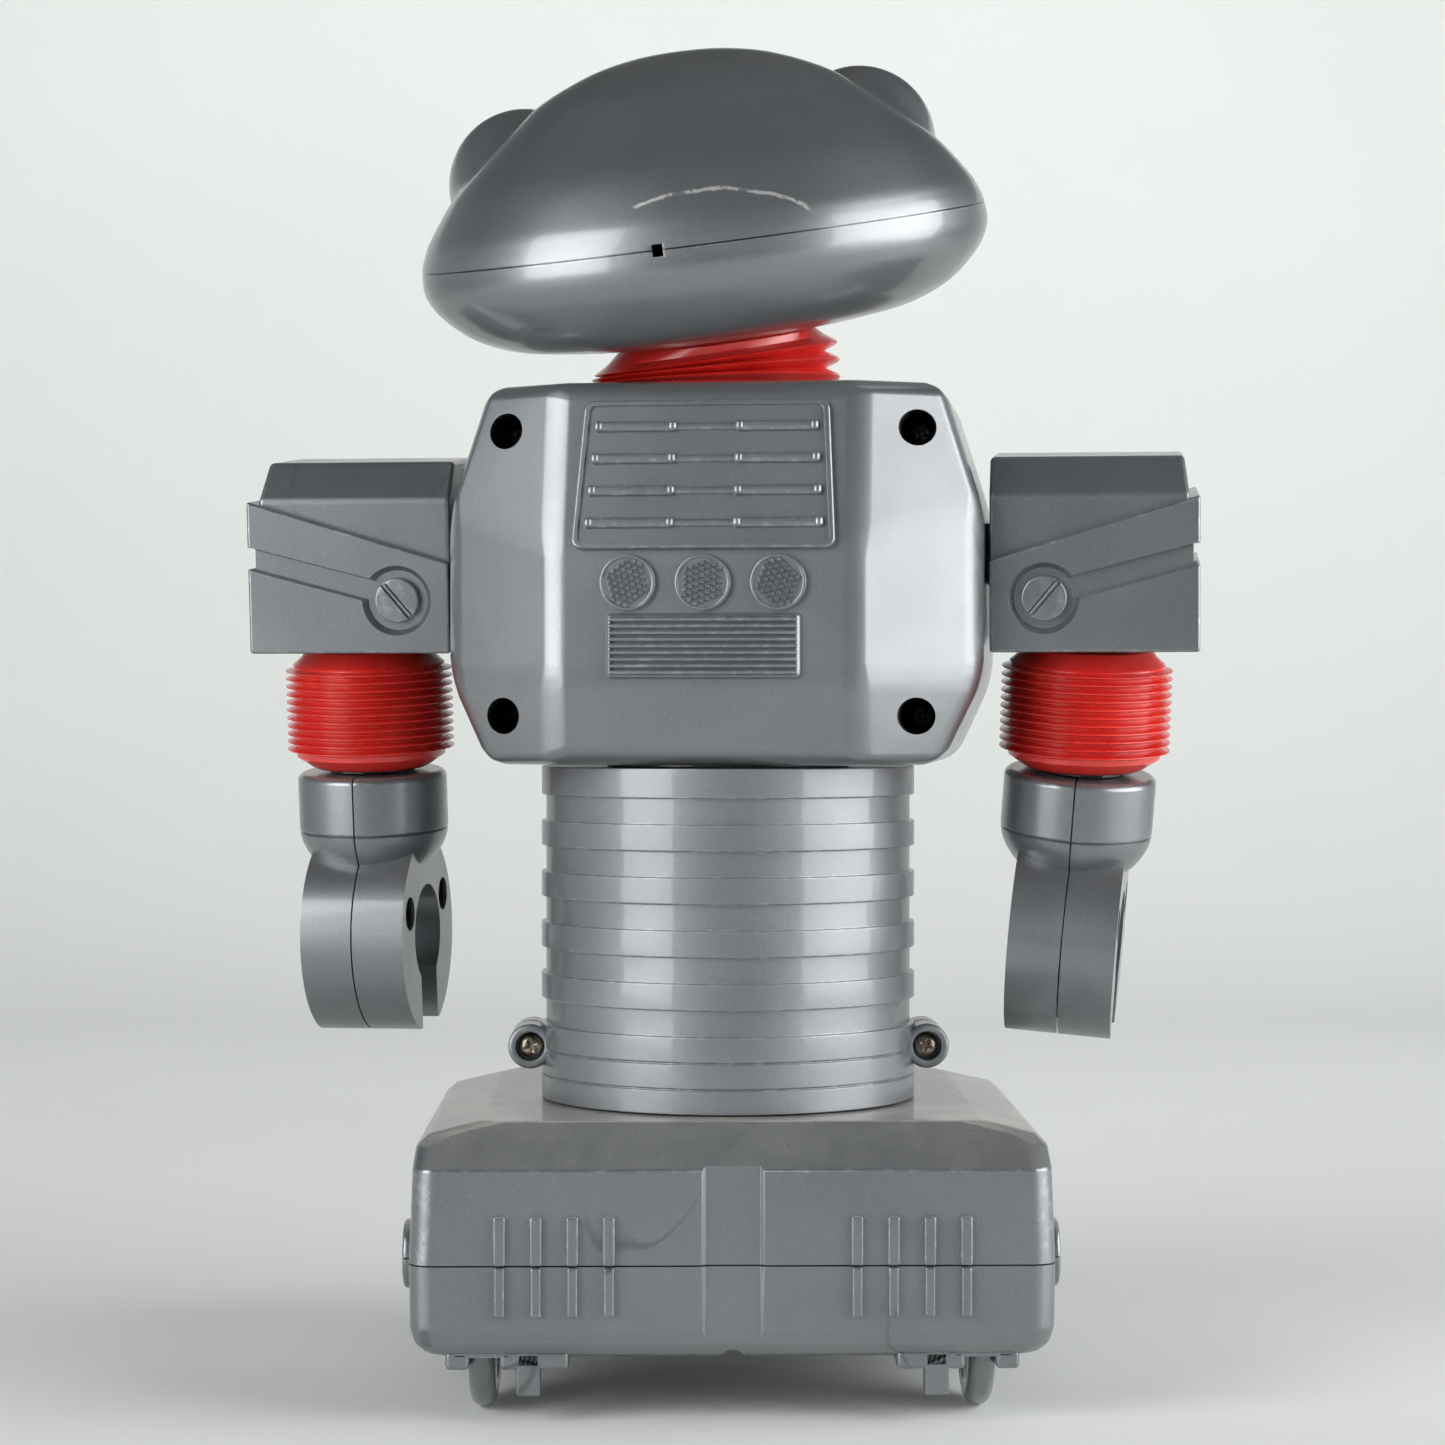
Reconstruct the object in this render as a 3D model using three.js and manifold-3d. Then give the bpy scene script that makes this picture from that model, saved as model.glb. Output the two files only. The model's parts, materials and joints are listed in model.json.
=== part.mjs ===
// Toy robot on a wheeled base: wide frog-like head, faceted torso, claw hands, banded column.
// Millimetres, +Z up, the robot faces -Y. Its left side is +X. Wheels stand on Z = 0.
import * as THREE from 'three';
import { ConvexGeometry } from 'three/addons/geometries/ConvexGeometry.js';
import { mergeVertices } from 'three/addons/utils/BufferGeometryUtils.js';
import Module from 'manifold-3d';

const wasm = await Module();
wasm.setup();

// ---------------------------------------------------------------- driving dimensions
const DEG = Math.PI / 180;
const GAP = 0.3; // clearance between touching pieces
const WALL = 2.2; // moulded wall
const FAR = 200; // reach of a cutting block

// Base, measured from the column axis: +Y is the back.
const COLUMN_Y = 9.85; // column axis behind the middle of the whole object
const BASE_HALF = 60.3;
const BASE_BACK = 51;
const BASE_FRONT = -75;
const BASE_BOTTOM = 12.5;
const BASE_PARTING = 30.1;
const DECK_Z = 56;
const CORNER_RADIUS = 4.5;
const FRONT_CHAMFER = [9.5, 22];
const BAR_FIRST_X = 23;
const BAR_PITCH = 6.76;
const BAR_WIDTH = 2.3;
const BAR_PROUD = 1.2;
const BAR_TOP = 39.3;
const BAR_FOOT = 20.7;
const CHANNEL_WIDTH = 10.7;
const CHANNEL_DEPTH = 0.7;
const SIDE_BOSS = { radius: 6.5, proud: 1.7, y: 35 };
const WHEEL_RADIUS = 18;
const WHEEL_WIDTH = 5;
const WHEEL_X = 47;
const AXLE_RADIUS = 1.5;
const REAR_AXLE_Y = 28;
const FRONT_AXLE_Y = -43;
const WELL_HALF_LENGTH = 20.3;
const WELL_INNER_X = 41.4;
const WELL_OUTER_X = 52.1;
const WELL_RIM_Z = 10.3;
const SKID_X = 38;

// Drive train: motor pinion of 10 teeth to a wheel of 20, then 9 teeth to an axle gear of 12.
const GEAR_CENTRE = { y: 32, z: 27.92 };
const MOTOR_CENTRE = { y: 19.8, z: 27.92 };

// Column
const COLUMN_RADIUS = 37.2;
const COLUMN_RECESS = 36.3;
const COLUMN_FOOT = DECK_Z + GAP;
const COLUMN_TOP = 121.9;
const BAND_START = 71;
const BAND_PITCH = 5.03;
const BAND_COUNT = 9;
const LUG = { x: 39.2, z: 66.6, radius: 4.4, length: 9 };

// Torso, in its own frame
const TORSO_YAW = -7.8 * DEG;
const TORSO_BOTTOM = 122.5;
const TORSO_TOP = 196;
const WAIST_HOLE = 24.5;
const TORSO_SCREWS = [[39.7, 186.8], [-39.7, 186.8], [39.7, 131.9], [-39.7, 131.9]];
const SHOULDER_Z = 164;
const SHOULDER_HOLE = 6.4;

// Arms
const ARM_SWING = -6.1 * DEG;
const ARM_INNER = 52.9;
const ARM_OUTER = 91.2;
const ARM_PROUD = 2;
const ARM_TOP = 19.5;
const ARM_FOOT = -17.9;
const ARM_HALF_DEPTH = 18;
const ARM_FOLD = 12.3;
const ARM_BOSS = { x: 63.4, z: -7.4 };
const ARM_AXIS = 72.4;
// Both forearms hang a little to the robot's left of the arms' middles.
const ELBOW_SHIFT = 1.3;
const ELBOW_DROP = 30.8;
const HAND_RADIUS = 20;
const HAND_HOLE = 10;
const HAND_HALF_WIDTH = 10.5;
const HAND_CENTRE = -46.2;
const HAND_BOTTOM = -64.8;
const HAND_TWIST = -3 * DEG;

// Neck and head
const NECK_PIVOT = { y: 1.5, z: 190 };
const HEAD_ROLL = 6.2 * DEG;
const HEAD_PITCH = -10.2 * DEG;
const HEAD_YAW = 7.2 * DEG;
const HEAD_RISE = 37.3;
const HEAD_DEPTH_RATIO = 0.86;
const EYE = { x: 34, y: -19, z: 14.1, radius: 15.5 };
const HEAD_NOTCH_X = 9.5;

// ---------------------------------------------------------------- shape helpers
// A closed three.js geometry becomes a solid whose faces point outwards.
function toSolid(geometry) {
  const bare = geometry.clone();
  bare.deleteAttribute('normal');
  bare.deleteAttribute('uv');
  const merged = mergeVertices(bare, 1e-4);
  const corners = merged.index.array;
  const position = merged.attributes.position;
  const triangles = [];
  let volume = 0;
  const a = new THREE.Vector3();
  const b = new THREE.Vector3();
  const c = new THREE.Vector3();
  for (let i = 0; i < corners.length; i += 3) {
    const [p, q, r] = [corners[i], corners[i + 1], corners[i + 2]];
    if (p === q || q === r || r === p) continue;
    a.fromBufferAttribute(position, p);
    b.fromBufferAttribute(position, q);
    c.fromBufferAttribute(position, r);
    volume += a.dot(b.cross(c));
    triangles.push([p, q, r]);
  }
  const facing = triangles.map((t) => (volume > 0 ? t : [t[0], t[2], t[1]]));
  return new wasm.Manifold(new wasm.Mesh({
    numProp: 3,
    vertProperties: new Float32Array(position.array),
    triVerts: new Uint32Array(facing.flat()),
  }));
}

function toGeometry(solid) {
  const mesh = solid.getMesh();
  const geometry = new THREE.BufferGeometry();
  geometry.setAttribute('position', new THREE.BufferAttribute(mesh.vertProperties, 3));
  geometry.setIndex(new THREE.BufferAttribute(mesh.triVerts, 1));
  geometry.computeVertexNormals();
  return geometry;
}

function box(x, y, z) {
  const geometry = new THREE.BoxGeometry(Math.abs(x[1] - x[0]), Math.abs(y[1] - y[0]), Math.abs(z[1] - z[0]));
  geometry.translate((x[0] + x[1]) / 2, (y[0] + y[1]) / 2, (z[0] + z[1]) / 2);
  return toSolid(geometry);
}

function hull(points) {
  return toSolid(new ConvexGeometry(points.map((p) => new THREE.Vector3(...p))));
}

// Cylinder between two stations of one axis, centred on the two other coordinates.
function cylinder(axis, radius, from, to, centre = [0, 0], sides = 14) {
  const geometry = new THREE.CylinderGeometry(radius, radius, Math.abs(to - from), sides);
  const middle = (from + to) / 2;
  if (axis === 'x') geometry.rotateZ(Math.PI / 2).translate(middle, centre[0], centre[1]);
  if (axis === 'y') geometry.translate(centre[0], middle, centre[1]);
  if (axis === 'z') geometry.rotateX(Math.PI / 2).translate(centre[0], centre[1], middle);
  return toSolid(geometry);
}

// Revolves [radius, height] points about +Z.
function turned(profile, sides = 28, depthRatio = 1) {
  const geometry = new THREE.LatheGeometry(profile.map(([r, z]) => new THREE.Vector2(r, z)), sides);
  geometry.rotateX(Math.PI / 2);
  geometry.scale(1, depthRatio, 1);
  return toSolid(geometry);
}

// Extrudes a [y, z] outline along X.
function prismX(outline, from, to) {
  const shape = new THREE.Shape(outline.map(([y, z]) => new THREE.Vector2(y, z)));
  const geometry = new THREE.ExtrudeGeometry(shape, { depth: to - from, bevelEnabled: false });
  const toX = new THREE.Matrix4().makeBasis(
    new THREE.Vector3(0, 1, 0),
    new THREE.Vector3(0, 0, 1),
    new THREE.Vector3(1, 0, 0),
  );
  geometry.applyMatrix4(toX).translate(from, 0, 0);
  return toSolid(geometry);
}

const join = (...solids) => solids.reduce((sum, next) => sum.add(next));
const cut = (body, ...tools) => tools.reduce((rest, tool) => rest.subtract(tool), body);
const above = (z) => box([-FAR, FAR], [-FAR, FAR], [z, z + 2 * FAR]);
const below = (z) => box([-FAR, FAR], [-FAR, FAR], [z - 2 * FAR, z]);
const behind = (y) => box([-FAR, FAR], [y, y + 2 * FAR], [-FAR, 2 * FAR]);
const before = (y) => box([-FAR, FAR], [y - 2 * FAR, y], [-FAR, 2 * FAR]);
const plusX = (x) => box([x, x + 2 * FAR], [-FAR, FAR], [-FAR, 2 * FAR]);
const minusX = (x) => box([x - 2 * FAR, x], [-FAR, FAR], [-FAR, 2 * FAR]);

// ---------------------------------------------------------------- materials
function material(colour, roughness, metalness) {
  return () => new THREE.MeshStandardMaterial({ color: colour, roughness, metalness });
}
const silver = material(0x777c7f, 0.38, 0.55);
const red = material(0xb81c16, 0.35, 0.0);
const steel = material(0x9a958a, 0.4, 1.0);
const brass = material(0xa08a52, 0.35, 1.0);
const white = material(0xd8d6cf, 0.5, 0.0);
const black = material(0x17181a, 0.45, 0.0);
const amber = material(0xb8330f, 0.12, 0.0);

function place(group, name, solid, makeMaterial) {
  const mesh = new THREE.Mesh(toGeometry(solid), makeMaterial());
  mesh.name = name;
  group.add(mesh);
}

// ---------------------------------------------------------------- base
// Plan outline at one height: rounded back corners, chamfered front corners.
function baseOutline(z, half, back, front) {
  const points = [];
  for (const side of [1, -1]) {
    for (const step of [0, 1, 2]) {
      const angle = (step * Math.PI) / 4;
      const x = half - CORNER_RADIUS + CORNER_RADIUS * Math.cos(angle);
      points.push([side * x, back - CORNER_RADIUS + CORNER_RADIUS * Math.sin(angle), z]);
    }
    points.push([side * half, front + FRONT_CHAMFER[1], z]);
    points.push([side * (half - FRONT_CHAMFER[0]), front, z]);
  }
  return points;
}

// Heights with their half width, back and front; inset makes the hollow.
function baseHull(levels, inset) {
  return hull(levels.flatMap(([z, half, back, front]) => (
    baseOutline(z, half - inset, back - inset, front + inset)
  )));
}

const UPPER_LEVELS = [
  [BASE_PARTING + GAP / 2, BASE_HALF, BASE_BACK, BASE_FRONT],
  [47.8, 59.6, BASE_BACK, -74.6],
  [52, 59, 46.7, -70.8],
  [53.5, 57, 45.1, -69.2],
  [DECK_Z, 47, 42.5, -67],
];
const TRAY_LEVELS = [
  [BASE_PARTING - GAP / 2, BASE_HALF, BASE_BACK, BASE_FRONT],
  [17.5, 60.1, 50.8, -74.8],
  [14, 58.6, 49.3, -73.3],
  [BASE_BOTTOM, 55.2, 46, -70],
];
const TRAY_SCREWS = [[45, -9.7], [-45, -9.7], [20, -66], [-20, -66]];

function bars(zFrom, zTo) {
  const solids = [];
  for (const side of [1, -1]) {
    for (let i = 0; i < 4; i += 1) {
      const x = side * (BAR_FIRST_X + i * BAR_PITCH);
      const width = [x - BAR_WIDTH / 2, x + BAR_WIDTH / 2];
      solids.push(box(width, [BASE_BACK - 1, BASE_BACK + BAR_PROUD], [zFrom, zTo]));
    }
  }
  return join(...solids);
}

function sideBosses() {
  const centre = [SIDE_BOSS.y, BASE_PARTING];
  return join(...[1, -1].map((side) => (
    cylinder('x', SIDE_BOSS.radius, side * (BASE_HALF - 1.5), side * (BASE_HALF + SIDE_BOSS.proud), centre)
  )));
}

function channel() {
  const half = CHANNEL_WIDTH / 2;
  return box([-half, half], [BASE_BACK - CHANNEL_DEPTH, BASE_BACK + 5], [0, DECK_Z]);
}

function upperCasing() {
  const raised = UPPER_LEVELS.map(([z, ...rest], i) => [i === 0 ? z - 5 : z - WALL, ...rest]);
  const outer = baseHull(UPPER_LEVELS, 0);
  let casing = cut(outer, baseHull(raised, WALL), channel());
  const trim = above(BASE_PARTING + GAP / 2);
  casing = join(casing, bars(BASE_PARTING + GAP / 2, BAR_TOP), sideBosses().intersect(trim));
  for (const [x, y] of TRAY_SCREWS) {
    const post = cylinder('z', 3.6, 16.8, DECK_Z - 1.5, [x, y], 8);
    casing = cut(join(casing, post), cylinder('z', 1.6, 16, 26, [x, y], 6));
  }
  return cut(casing, cylinder('z', 30.4, 50, 60, [0, 0], 20));
}

const BATTERY = { half: 24, back: 2, front: -34, top: 28.8 };

function wheelWell(side, axleY) {
  const width = [side * WELL_INNER_X, side * WELL_OUTER_X];
  const length = [axleY - WELL_HALF_LENGTH, axleY + WELL_HALF_LENGTH];
  const rim = box([side * 30.5, side * 53.5], length, [WELL_RIM_Z, 13.5]);
  return join(rim, box(width, length, [WELL_RIM_Z, 38.5]));
}

function wheelSpace(side, axleY) {
  const length = WELL_HALF_LENGTH - 1.5;
  const space = box([side * 43.6, side * 50.4], [axleY - length, axleY + length], [0, 37.2]);
  const openEnd = WELL_HALF_LENGTH + 1;
  const mouth = box([side * 43.6, side * 50.4], [axleY - openEnd, axleY + openEnd], [0, BASE_BOTTOM]);
  const bearing = cylinder('x', AXLE_RADIUS + 0.5, side * 40, side * 51.5, [axleY, WHEEL_RADIUS], 8);
  return join(space, mouth, bearing);
}

function tray() {
  const lifted = TRAY_LEVELS.map(([z, ...rest], i) => [i === 0 ? z + 5 : z + WALL, ...rest]);
  let body = cut(baseHull(TRAY_LEVELS, 0), baseHull(lifted, WALL), channel());
  body = join(body, bars(BAR_FOOT, BASE_PARTING - GAP / 2));
  body = join(body, sideBosses().intersect(below(BASE_PARTING - GAP / 2)));
  body = join(body, box([-30, 30], [-46, 8], [BASE_BOTTOM, 15.8]));
  body = join(body, box([-26.2, 26.2], [BATTERY.front - WALL, BATTERY.back + WALL], [13, 31]));
  body = join(body, box([11, 22], [19, 37], [10.2, 14]));
  for (const side of [1, -1]) {
    body = join(body, wheelWell(side, REAR_AXLE_Y), wheelWell(side, FRONT_AXLE_Y));
    body = join(body, box([side * (SKID_X - 2.25), side * (SKID_X + 2.25)], [43.5, 48.3], [5.5, 14.5]));
  }
  body = cut(body, box([-26, 26], [-42.3, 4], [0, 14.2]));
  body = cut(body, box([-BATTERY.half, BATTERY.half], [BATTERY.front, BATTERY.back], [0, BATTERY.top]));
  body = cut(body, box([12.3, 20.7], [20, 36], [11, 15]));
  body = cut(body, cylinder('y', 2.1, 40, 60, [0, BASE_BOTTOM], 8));
  body = cut(body, box([-4.4, 4.4], [-63.5, -54.5], [0, 16]));
  for (const side of [1, -1]) {
    body = cut(body, wheelSpace(side, REAR_AXLE_Y), wheelSpace(side, FRONT_AXLE_Y));
  }
  for (const [x, y] of TRAY_SCREWS) {
    body = join(body, cylinder('z', 5, BASE_BOTTOM, 16.5, [x, y], 8));
    body = cut(body, cylinder('z', 3, 0, 14.5, [x, y], 8), cylinder('z', 1.7, 0, 20, [x, y], 6));
  }
  return body;
}

function batteryDoor() {
  const plate = box([-25.7, 25.7], [-35.7, 3.7], [BASE_BOTTOM + 0.1, 13.9]);
  const grips = [0, 1, 2, 3].map((i) => (
    box([-8, 8], [-30 + 3 * i, -28.8 + 3 * i], [BASE_BOTTOM - 0.6, BASE_BOTTOM + 0.5])
  ));
  return join(plate, ...grips);
}

function batteryContact(rear) {
  const y = rear ? BATTERY.back - GAP : BATTERY.front + GAP;
  const inward = rear ? -1 : 1;
  const plate = box([-22, 22], [y, y + 0.5 * inward], [16, 27]);
  const springs = [-11, 11].map((x) => (
    cylinder('y', 3, y + 0.4 * inward, y + 4 * inward, [x, 21.5], 8)
  ));
  return rear ? plate : join(plate, ...springs);
}

function powerSwitch() {
  return join(box([-4, 4], [-59, -54.9], [11.2, 17.5]), box([-7, 7], [-61, -52.5], [16.4, 17.6]));
}

// Spur gear outline in the Y-Z plane; one tooth points along the given angle.
function gear(teeth, module, bore, from, to, centre, phase) {
  const pitch = (teeth * module) / 2;
  const tip = pitch + 0.65 * module;
  const root = pitch - 1.15 * module;
  const outline = [];
  for (let i = 0; i < teeth; i += 1) {
    const middle = phase + (2 * Math.PI * i) / teeth;
    const step = (2 * Math.PI) / teeth;
    for (const [share, radius] of [[-0.29, root], [-0.11, tip], [0.11, tip], [0.29, root]]) {
      const angle = middle + share * step;
      outline.push([centre.y + radius * Math.cos(angle), centre.z + radius * Math.sin(angle)]);
    }
  }
  const wheel = prismX(outline, from, to);
  return bore > 0 ? cut(wheel, cylinder('x', bore, from - 1, to + 1, [centre.y, centre.z], 8)) : wheel;
}

const REAR_AXLE = { y: REAR_AXLE_Y, z: WHEEL_RADIUS };
const axleToGear = Math.atan2(GEAR_CENTRE.z - REAR_AXLE.z, GEAR_CENTRE.y - REAR_AXLE.y);

function axleGear() {
  return gear(12, 1, AXLE_RADIUS + GAP, 14, 18, REAR_AXLE, axleToGear);
}

function reductionGear() {
  const small = gear(9, 1, 0, 14, 18.6, GEAR_CENTRE, axleToGear + Math.PI - Math.PI / 9);
  const large = gear(20, 0.8, 0, 18.5, 21.5, GEAR_CENTRE, Math.PI);
  return join(small, large, cylinder('x', 1.4, 10.6, 25.6, [GEAR_CENTRE.y, GEAR_CENTRE.z], 8));
}

function motorPinion() {
  const wheel = gear(10, 0.8, 0, 18.4, 21.6, MOTOR_CENTRE, Math.PI / 10);
  return join(wheel, cylinder('x', 1, 10.2, 23.5, [MOTOR_CENTRE.y, MOTOR_CENTRE.z], 6));
}

function gearboxFrame() {
  const inner = box([10.2, 11.8], [25.1, 44], [15.1, 44]);
  const outer = box([24, 26], [8, 44], [15.1, 44]);
  const bridge = box([10.2, 26], [29, 42], [42, 44]);
  const shaftHole = cylinder('x', 1.8, 8, 28, [GEAR_CENTRE.y, GEAR_CENTRE.z], 8);
  const axleHole = cylinder('x', 2.1, 8, 28, [REAR_AXLE.y, REAR_AXLE.z], 8);
  return cut(join(inner, outer, bridge), shaftHole, axleHole);
}

function driveMotor() {
  const can = cylinder('x', 9, -17, 9.8, [MOTOR_CENTRE.y, MOTOR_CENTRE.z], 16);
  return join(can, cylinder('x', 3, -19, -16.5, [MOTOR_CENTRE.y, MOTOR_CENTRE.z], 8));
}

function axle(y) {
  return cylinder('x', AXLE_RADIUS, -WHEEL_X - 2, WHEEL_X + 2, [y, WHEEL_RADIUS], 8);
}

// Narrow wheel with a strongly rounded rim and a raised hub.
function wheel(side, y) {
  const half = WHEEL_WIDTH / 2;
  const bore = AXLE_RADIUS + GAP;
  const profile = [
    [bore, -half], [15.4, -half], [17.2, -half + 0.7], [WHEEL_RADIUS, -0.9],
    [WHEEL_RADIUS, 0.9], [17.2, half - 0.7], [15.4, half], [bore, half], [bore, -half],
  ];
  const geometry = new THREE.LatheGeometry(profile.map(([r, z]) => new THREE.Vector2(r, z)), 22);
  geometry.rotateZ(Math.PI / 2).translate(side * WHEEL_X, y, WHEEL_RADIUS);
  return toSolid(geometry);
}

function screwUp(x, y) {
  return join(cylinder('z', 2.6, 12.9, 14.2, [x, y], 8), cylinder('z', 1.3, 14, 24, [x, y], 6));
}

function buildBase(group) {
  place(group, 'base_upper_casing', upperCasing(), silver);
  place(group, 'base_tray', tray(), silver);
  place(group, 'battery_door', batteryDoor(), silver);
  place(group, 'battery_contact_rear', batteryContact(true), steel);
  place(group, 'battery_contact_front', batteryContact(false), steel);
  place(group, 'power_switch', powerSwitch(), black);
  place(group, 'drive_motor', driveMotor(), steel);
  place(group, 'gearbox_frame', gearboxFrame(), black);
  place(group, 'motor_pinion', motorPinion(), white);
  place(group, 'reduction_gear', reductionGear(), white);
  place(group, 'axle_gear', axleGear(), white);
  for (const [end, y] of [['rear', REAR_AXLE_Y], ['front', FRONT_AXLE_Y]]) {
    place(group, `${end}_axle`, axle(y), steel);
    place(group, `${end}_wheel_left`, wheel(1, y), silver);
    place(group, `${end}_wheel_right`, wheel(-1, y), silver);
  }
  TRAY_SCREWS.forEach(([x, y], i) => place(group, `tray_screw_${i + 1}`, screwUp(x, y), steel));
}

// ---------------------------------------------------------------- column
function columnTube() {
  const outer = [[COLUMN_RADIUS, COLUMN_FOOT], [COLUMN_RADIUS, BAND_START]];
  for (let i = 0; i < BAND_COUNT; i += 1) {
    const radius = i % 2 === 0 ? COLUMN_RECESS : COLUMN_RADIUS;
    outer.push([radius, BAND_START + i * BAND_PITCH + 0.15]);
    outer.push([radius, BAND_START + (i + 1) * BAND_PITCH - 0.15]);
  }
  const rim = [[COLUMN_RADIUS, BAND_START + BAND_COUNT * BAND_PITCH + 0.15], [COLUMN_RADIUS, COLUMN_TOP]];
  const spigot = [[24, COLUMN_TOP], [24, 125.3], [26.5, 125.3], [26.5, 127.5], [21.8, 127.5]];
  const inside = [[21.8, COLUMN_TOP - WALL], [34.4, COLUMN_TOP - WALL]];
  const foot = [[34.4, 58.5], [27.6, 58.5], [27.6, 51], [29.8, 51], [29.8, COLUMN_FOOT]];
  return turned([...outer, ...rim, ...spigot, ...inside, ...foot, outer[0]], 24);
}

function columnHalf(rear) {
  const keep = rear ? behind(GAP / 2) : before(-GAP / 2);
  const reach = rear ? [GAP / 2, LUG.length] : [-LUG.length, -GAP / 2];
  let half = columnTube().intersect(keep);
  for (const side of [1, -1]) {
    const centre = [side * LUG.x, LUG.z];
    half = join(half, cylinder('y', LUG.radius, reach[0], reach[1], centre, 12));
    if (rear) half = cut(half, cylinder('y', 2.85, 5.8, 20, centre, 8));
    half = cut(half, cylinder('y', 1.5, rear ? -1 : -7, 9, centre, 6));
  }
  return half;
}

function columnScrew(side) {
  const centre = [side * LUG.x, LUG.z];
  return join(cylinder('y', 2.4, 6.1, 8, centre, 8), cylinder('y', 1.2, -6, 6.3, centre, 6));
}

function buildColumn(group) {
  place(group, 'column_rear_half', columnHalf(true), silver);
  place(group, 'column_front_half', columnHalf(false), silver);
  place(group, 'column_screw_left', columnScrew(1), brass);
  place(group, 'column_screw_right', columnScrew(-1), brass);
}

// ---------------------------------------------------------------- torso
// Rows: height, half width, half width of the middle facet, depth at the middle and at the side.
const TORSO_LEVELS = [
  [TORSO_BOTTOM, 44, 28.7, 37.5, 27.6],
  [139.4, 52, 28.7, 40, 25.8],
  [163.7, 52, 28.7, 40, 25.8],
  [177, 52, 28.7, 36.9, 24.6],
  [194, 45, 28.7, 33, 24.4],
  [TORSO_TOP, 43.3, 27.5, 31.2, 23],
];

function torsoHull(inset) {
  const points = [];
  TORSO_LEVELS.forEach(([z, half, facet, middle, edge], i) => {
    const height = z + (i === 0 ? inset : 0) - (i > 3 ? inset : 0);
    for (const side of [1, -1]) {
      for (const face of [1, -1]) {
        points.push([side * facet, face * (middle - inset), height]);
        points.push([side * (half - inset), face * (edge - inset), height]);
      }
    }
  });
  return hull(points);
}

function torsoShell() {
  const shell = cut(torsoHull(0), torsoHull(WALL));
  const waist = cylinder('z', WAIST_HOLE, 115, 130, [0, 0], 20);
  const neck = cylinder('z', 12, 190, 200, [0, NECK_PIVOT.y], 14);
  const shoulders = cylinder('x', SHOULDER_HOLE, -60, 60, [0, SHOULDER_Z], 12);
  return cut(shell, waist, neck, shoulders);
}

// Trapezoid panel with four ribs that leans with the upper back.
const PANEL = { foot: 163.5, top: 192, footY: 41.2, lean: 0.249 };

function ribbedPanel() {
  const faceY = (z) => PANEL.footY - PANEL.lean * (z - PANEL.foot);
  const plate = (bottom, top, rise, inset) => {
    const rows = [[bottom, PANEL.foot + inset], [top, PANEL.top - inset]];
    return hull(rows.flatMap(([half, z]) => (
      [1, -1].flatMap((side) => [faceY(z) + rise, 30].map((y) => [side * half, y, z]))
    )));
  };
  let panel = cut(plate(25.1, 23.4, 0, 0), plate(23.8, 22.1, 20, 1.3));
  panel = join(panel, plate(24.4, 22.8, -0.6, 0.7));
  for (let i = 0; i < 4; i += 1) {
    const middle = 168.3 + i * 6.15;
    const half = 22.6 - i * 0.4;
    panel = join(panel, hull([middle - 0.9, middle + 0.9].flatMap((z) => (
      [half, -half].flatMap((x) => [0.6, -2].map((rise) => [x, faceY(z) + rise, z]))
    ))));
  }
  return panel;
}

function torsoBack() {
  let back = torsoShell().intersect(behind(GAP / 2));
  back = join(back, cut(ribbedPanel(), torsoHull(WALL)));
  for (const x of [-14.3, 0, 14.3]) {
    back = join(back, cylinder('y', 5.3, 38, 41.2, [x, 157.1], 14));
  }
  back = join(back, box([-18.5, 18.5], [38.5, 41], [138.9, 151.4]));
  for (const [x, z] of TORSO_SCREWS) {
    const tube = cylinder('y', 5.2, 4, 45, [x, z], 12).intersect(torsoHull(0.6));
    back = cut(join(back, tube), cylinder('y', 3.5, 12, 60, [x, z], 12));
    back = cut(back, cylinder('y', 1.7, 0, 20, [x, z], 6));
  }
  return back;
}

function torsoFront() {
  let front = torsoShell().intersect(before(-GAP / 2));
  const raised = box([-26, 26], [-41.6, -36], [141.5, 161.5]);
  front = join(front, cut(raised, box([-24, 24], [-60, -40.8], [143.5, 159.5])));
  for (const x of [-12, 0, 12]) {
    front = join(front, cylinder('y', 4, -42, -38, [x, 151.5], 12));
  }
  for (let i = 0; i < 5; i += 1) {
    const z = 168 + i * 4;
    front = join(front, box([-20, 20], [-41 + i * 1, -33], [z, z + 1.8]));
  }
  for (const [x, z] of TORSO_SCREWS) {
    const post = cylinder('y', 3.4, -30, -GAP / 2, [x, z], 8).intersect(torsoHull(0.6));
    front = cut(join(front, post), cylinder('y', 1.6, -12, 2, [x, z], 6));
  }
  return front;
}

function torsoScrew(x, z) {
  return join(cylinder('y', 2.7, 12.3, 14, [x, z], 8), cylinder('y', 1.3, -9, 12.5, [x, z], 6));
}

function neckBracket() {
  const base = box([-13, 13], [NECK_PIVOT.y - 9, NECK_PIVOT.y + 9], [176, 179]);
  const cheeks = [1, -1].map((face) => (
    box([-5, 5], [NECK_PIVOT.y + face * 4.4, NECK_PIVOT.y + face * 7], [178, 193.3])
  ));
  return cut(join(base, ...cheeks), cylinder('y', 1.9, -20, 20, [0, NECK_PIVOT.z], 8));
}

function neckPin() {
  const y = NECK_PIVOT.y;
  return cylinder('y', 1.6, y - 7, y + 7, [0, NECK_PIVOT.z], 8);
}

function buildTorso(group) {
  place(group, 'torso_back_casing', torsoBack(), silver);
  place(group, 'torso_front_casing', torsoFront(), silver);
  TORSO_SCREWS.forEach(([x, z], i) => place(group, `torso_screw_${i + 1}`, torsoScrew(x, z), steel));
  place(group, 'neck_bracket', neckBracket(), black);
  place(group, 'neck_pin', neckPin(), steel);
}

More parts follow.
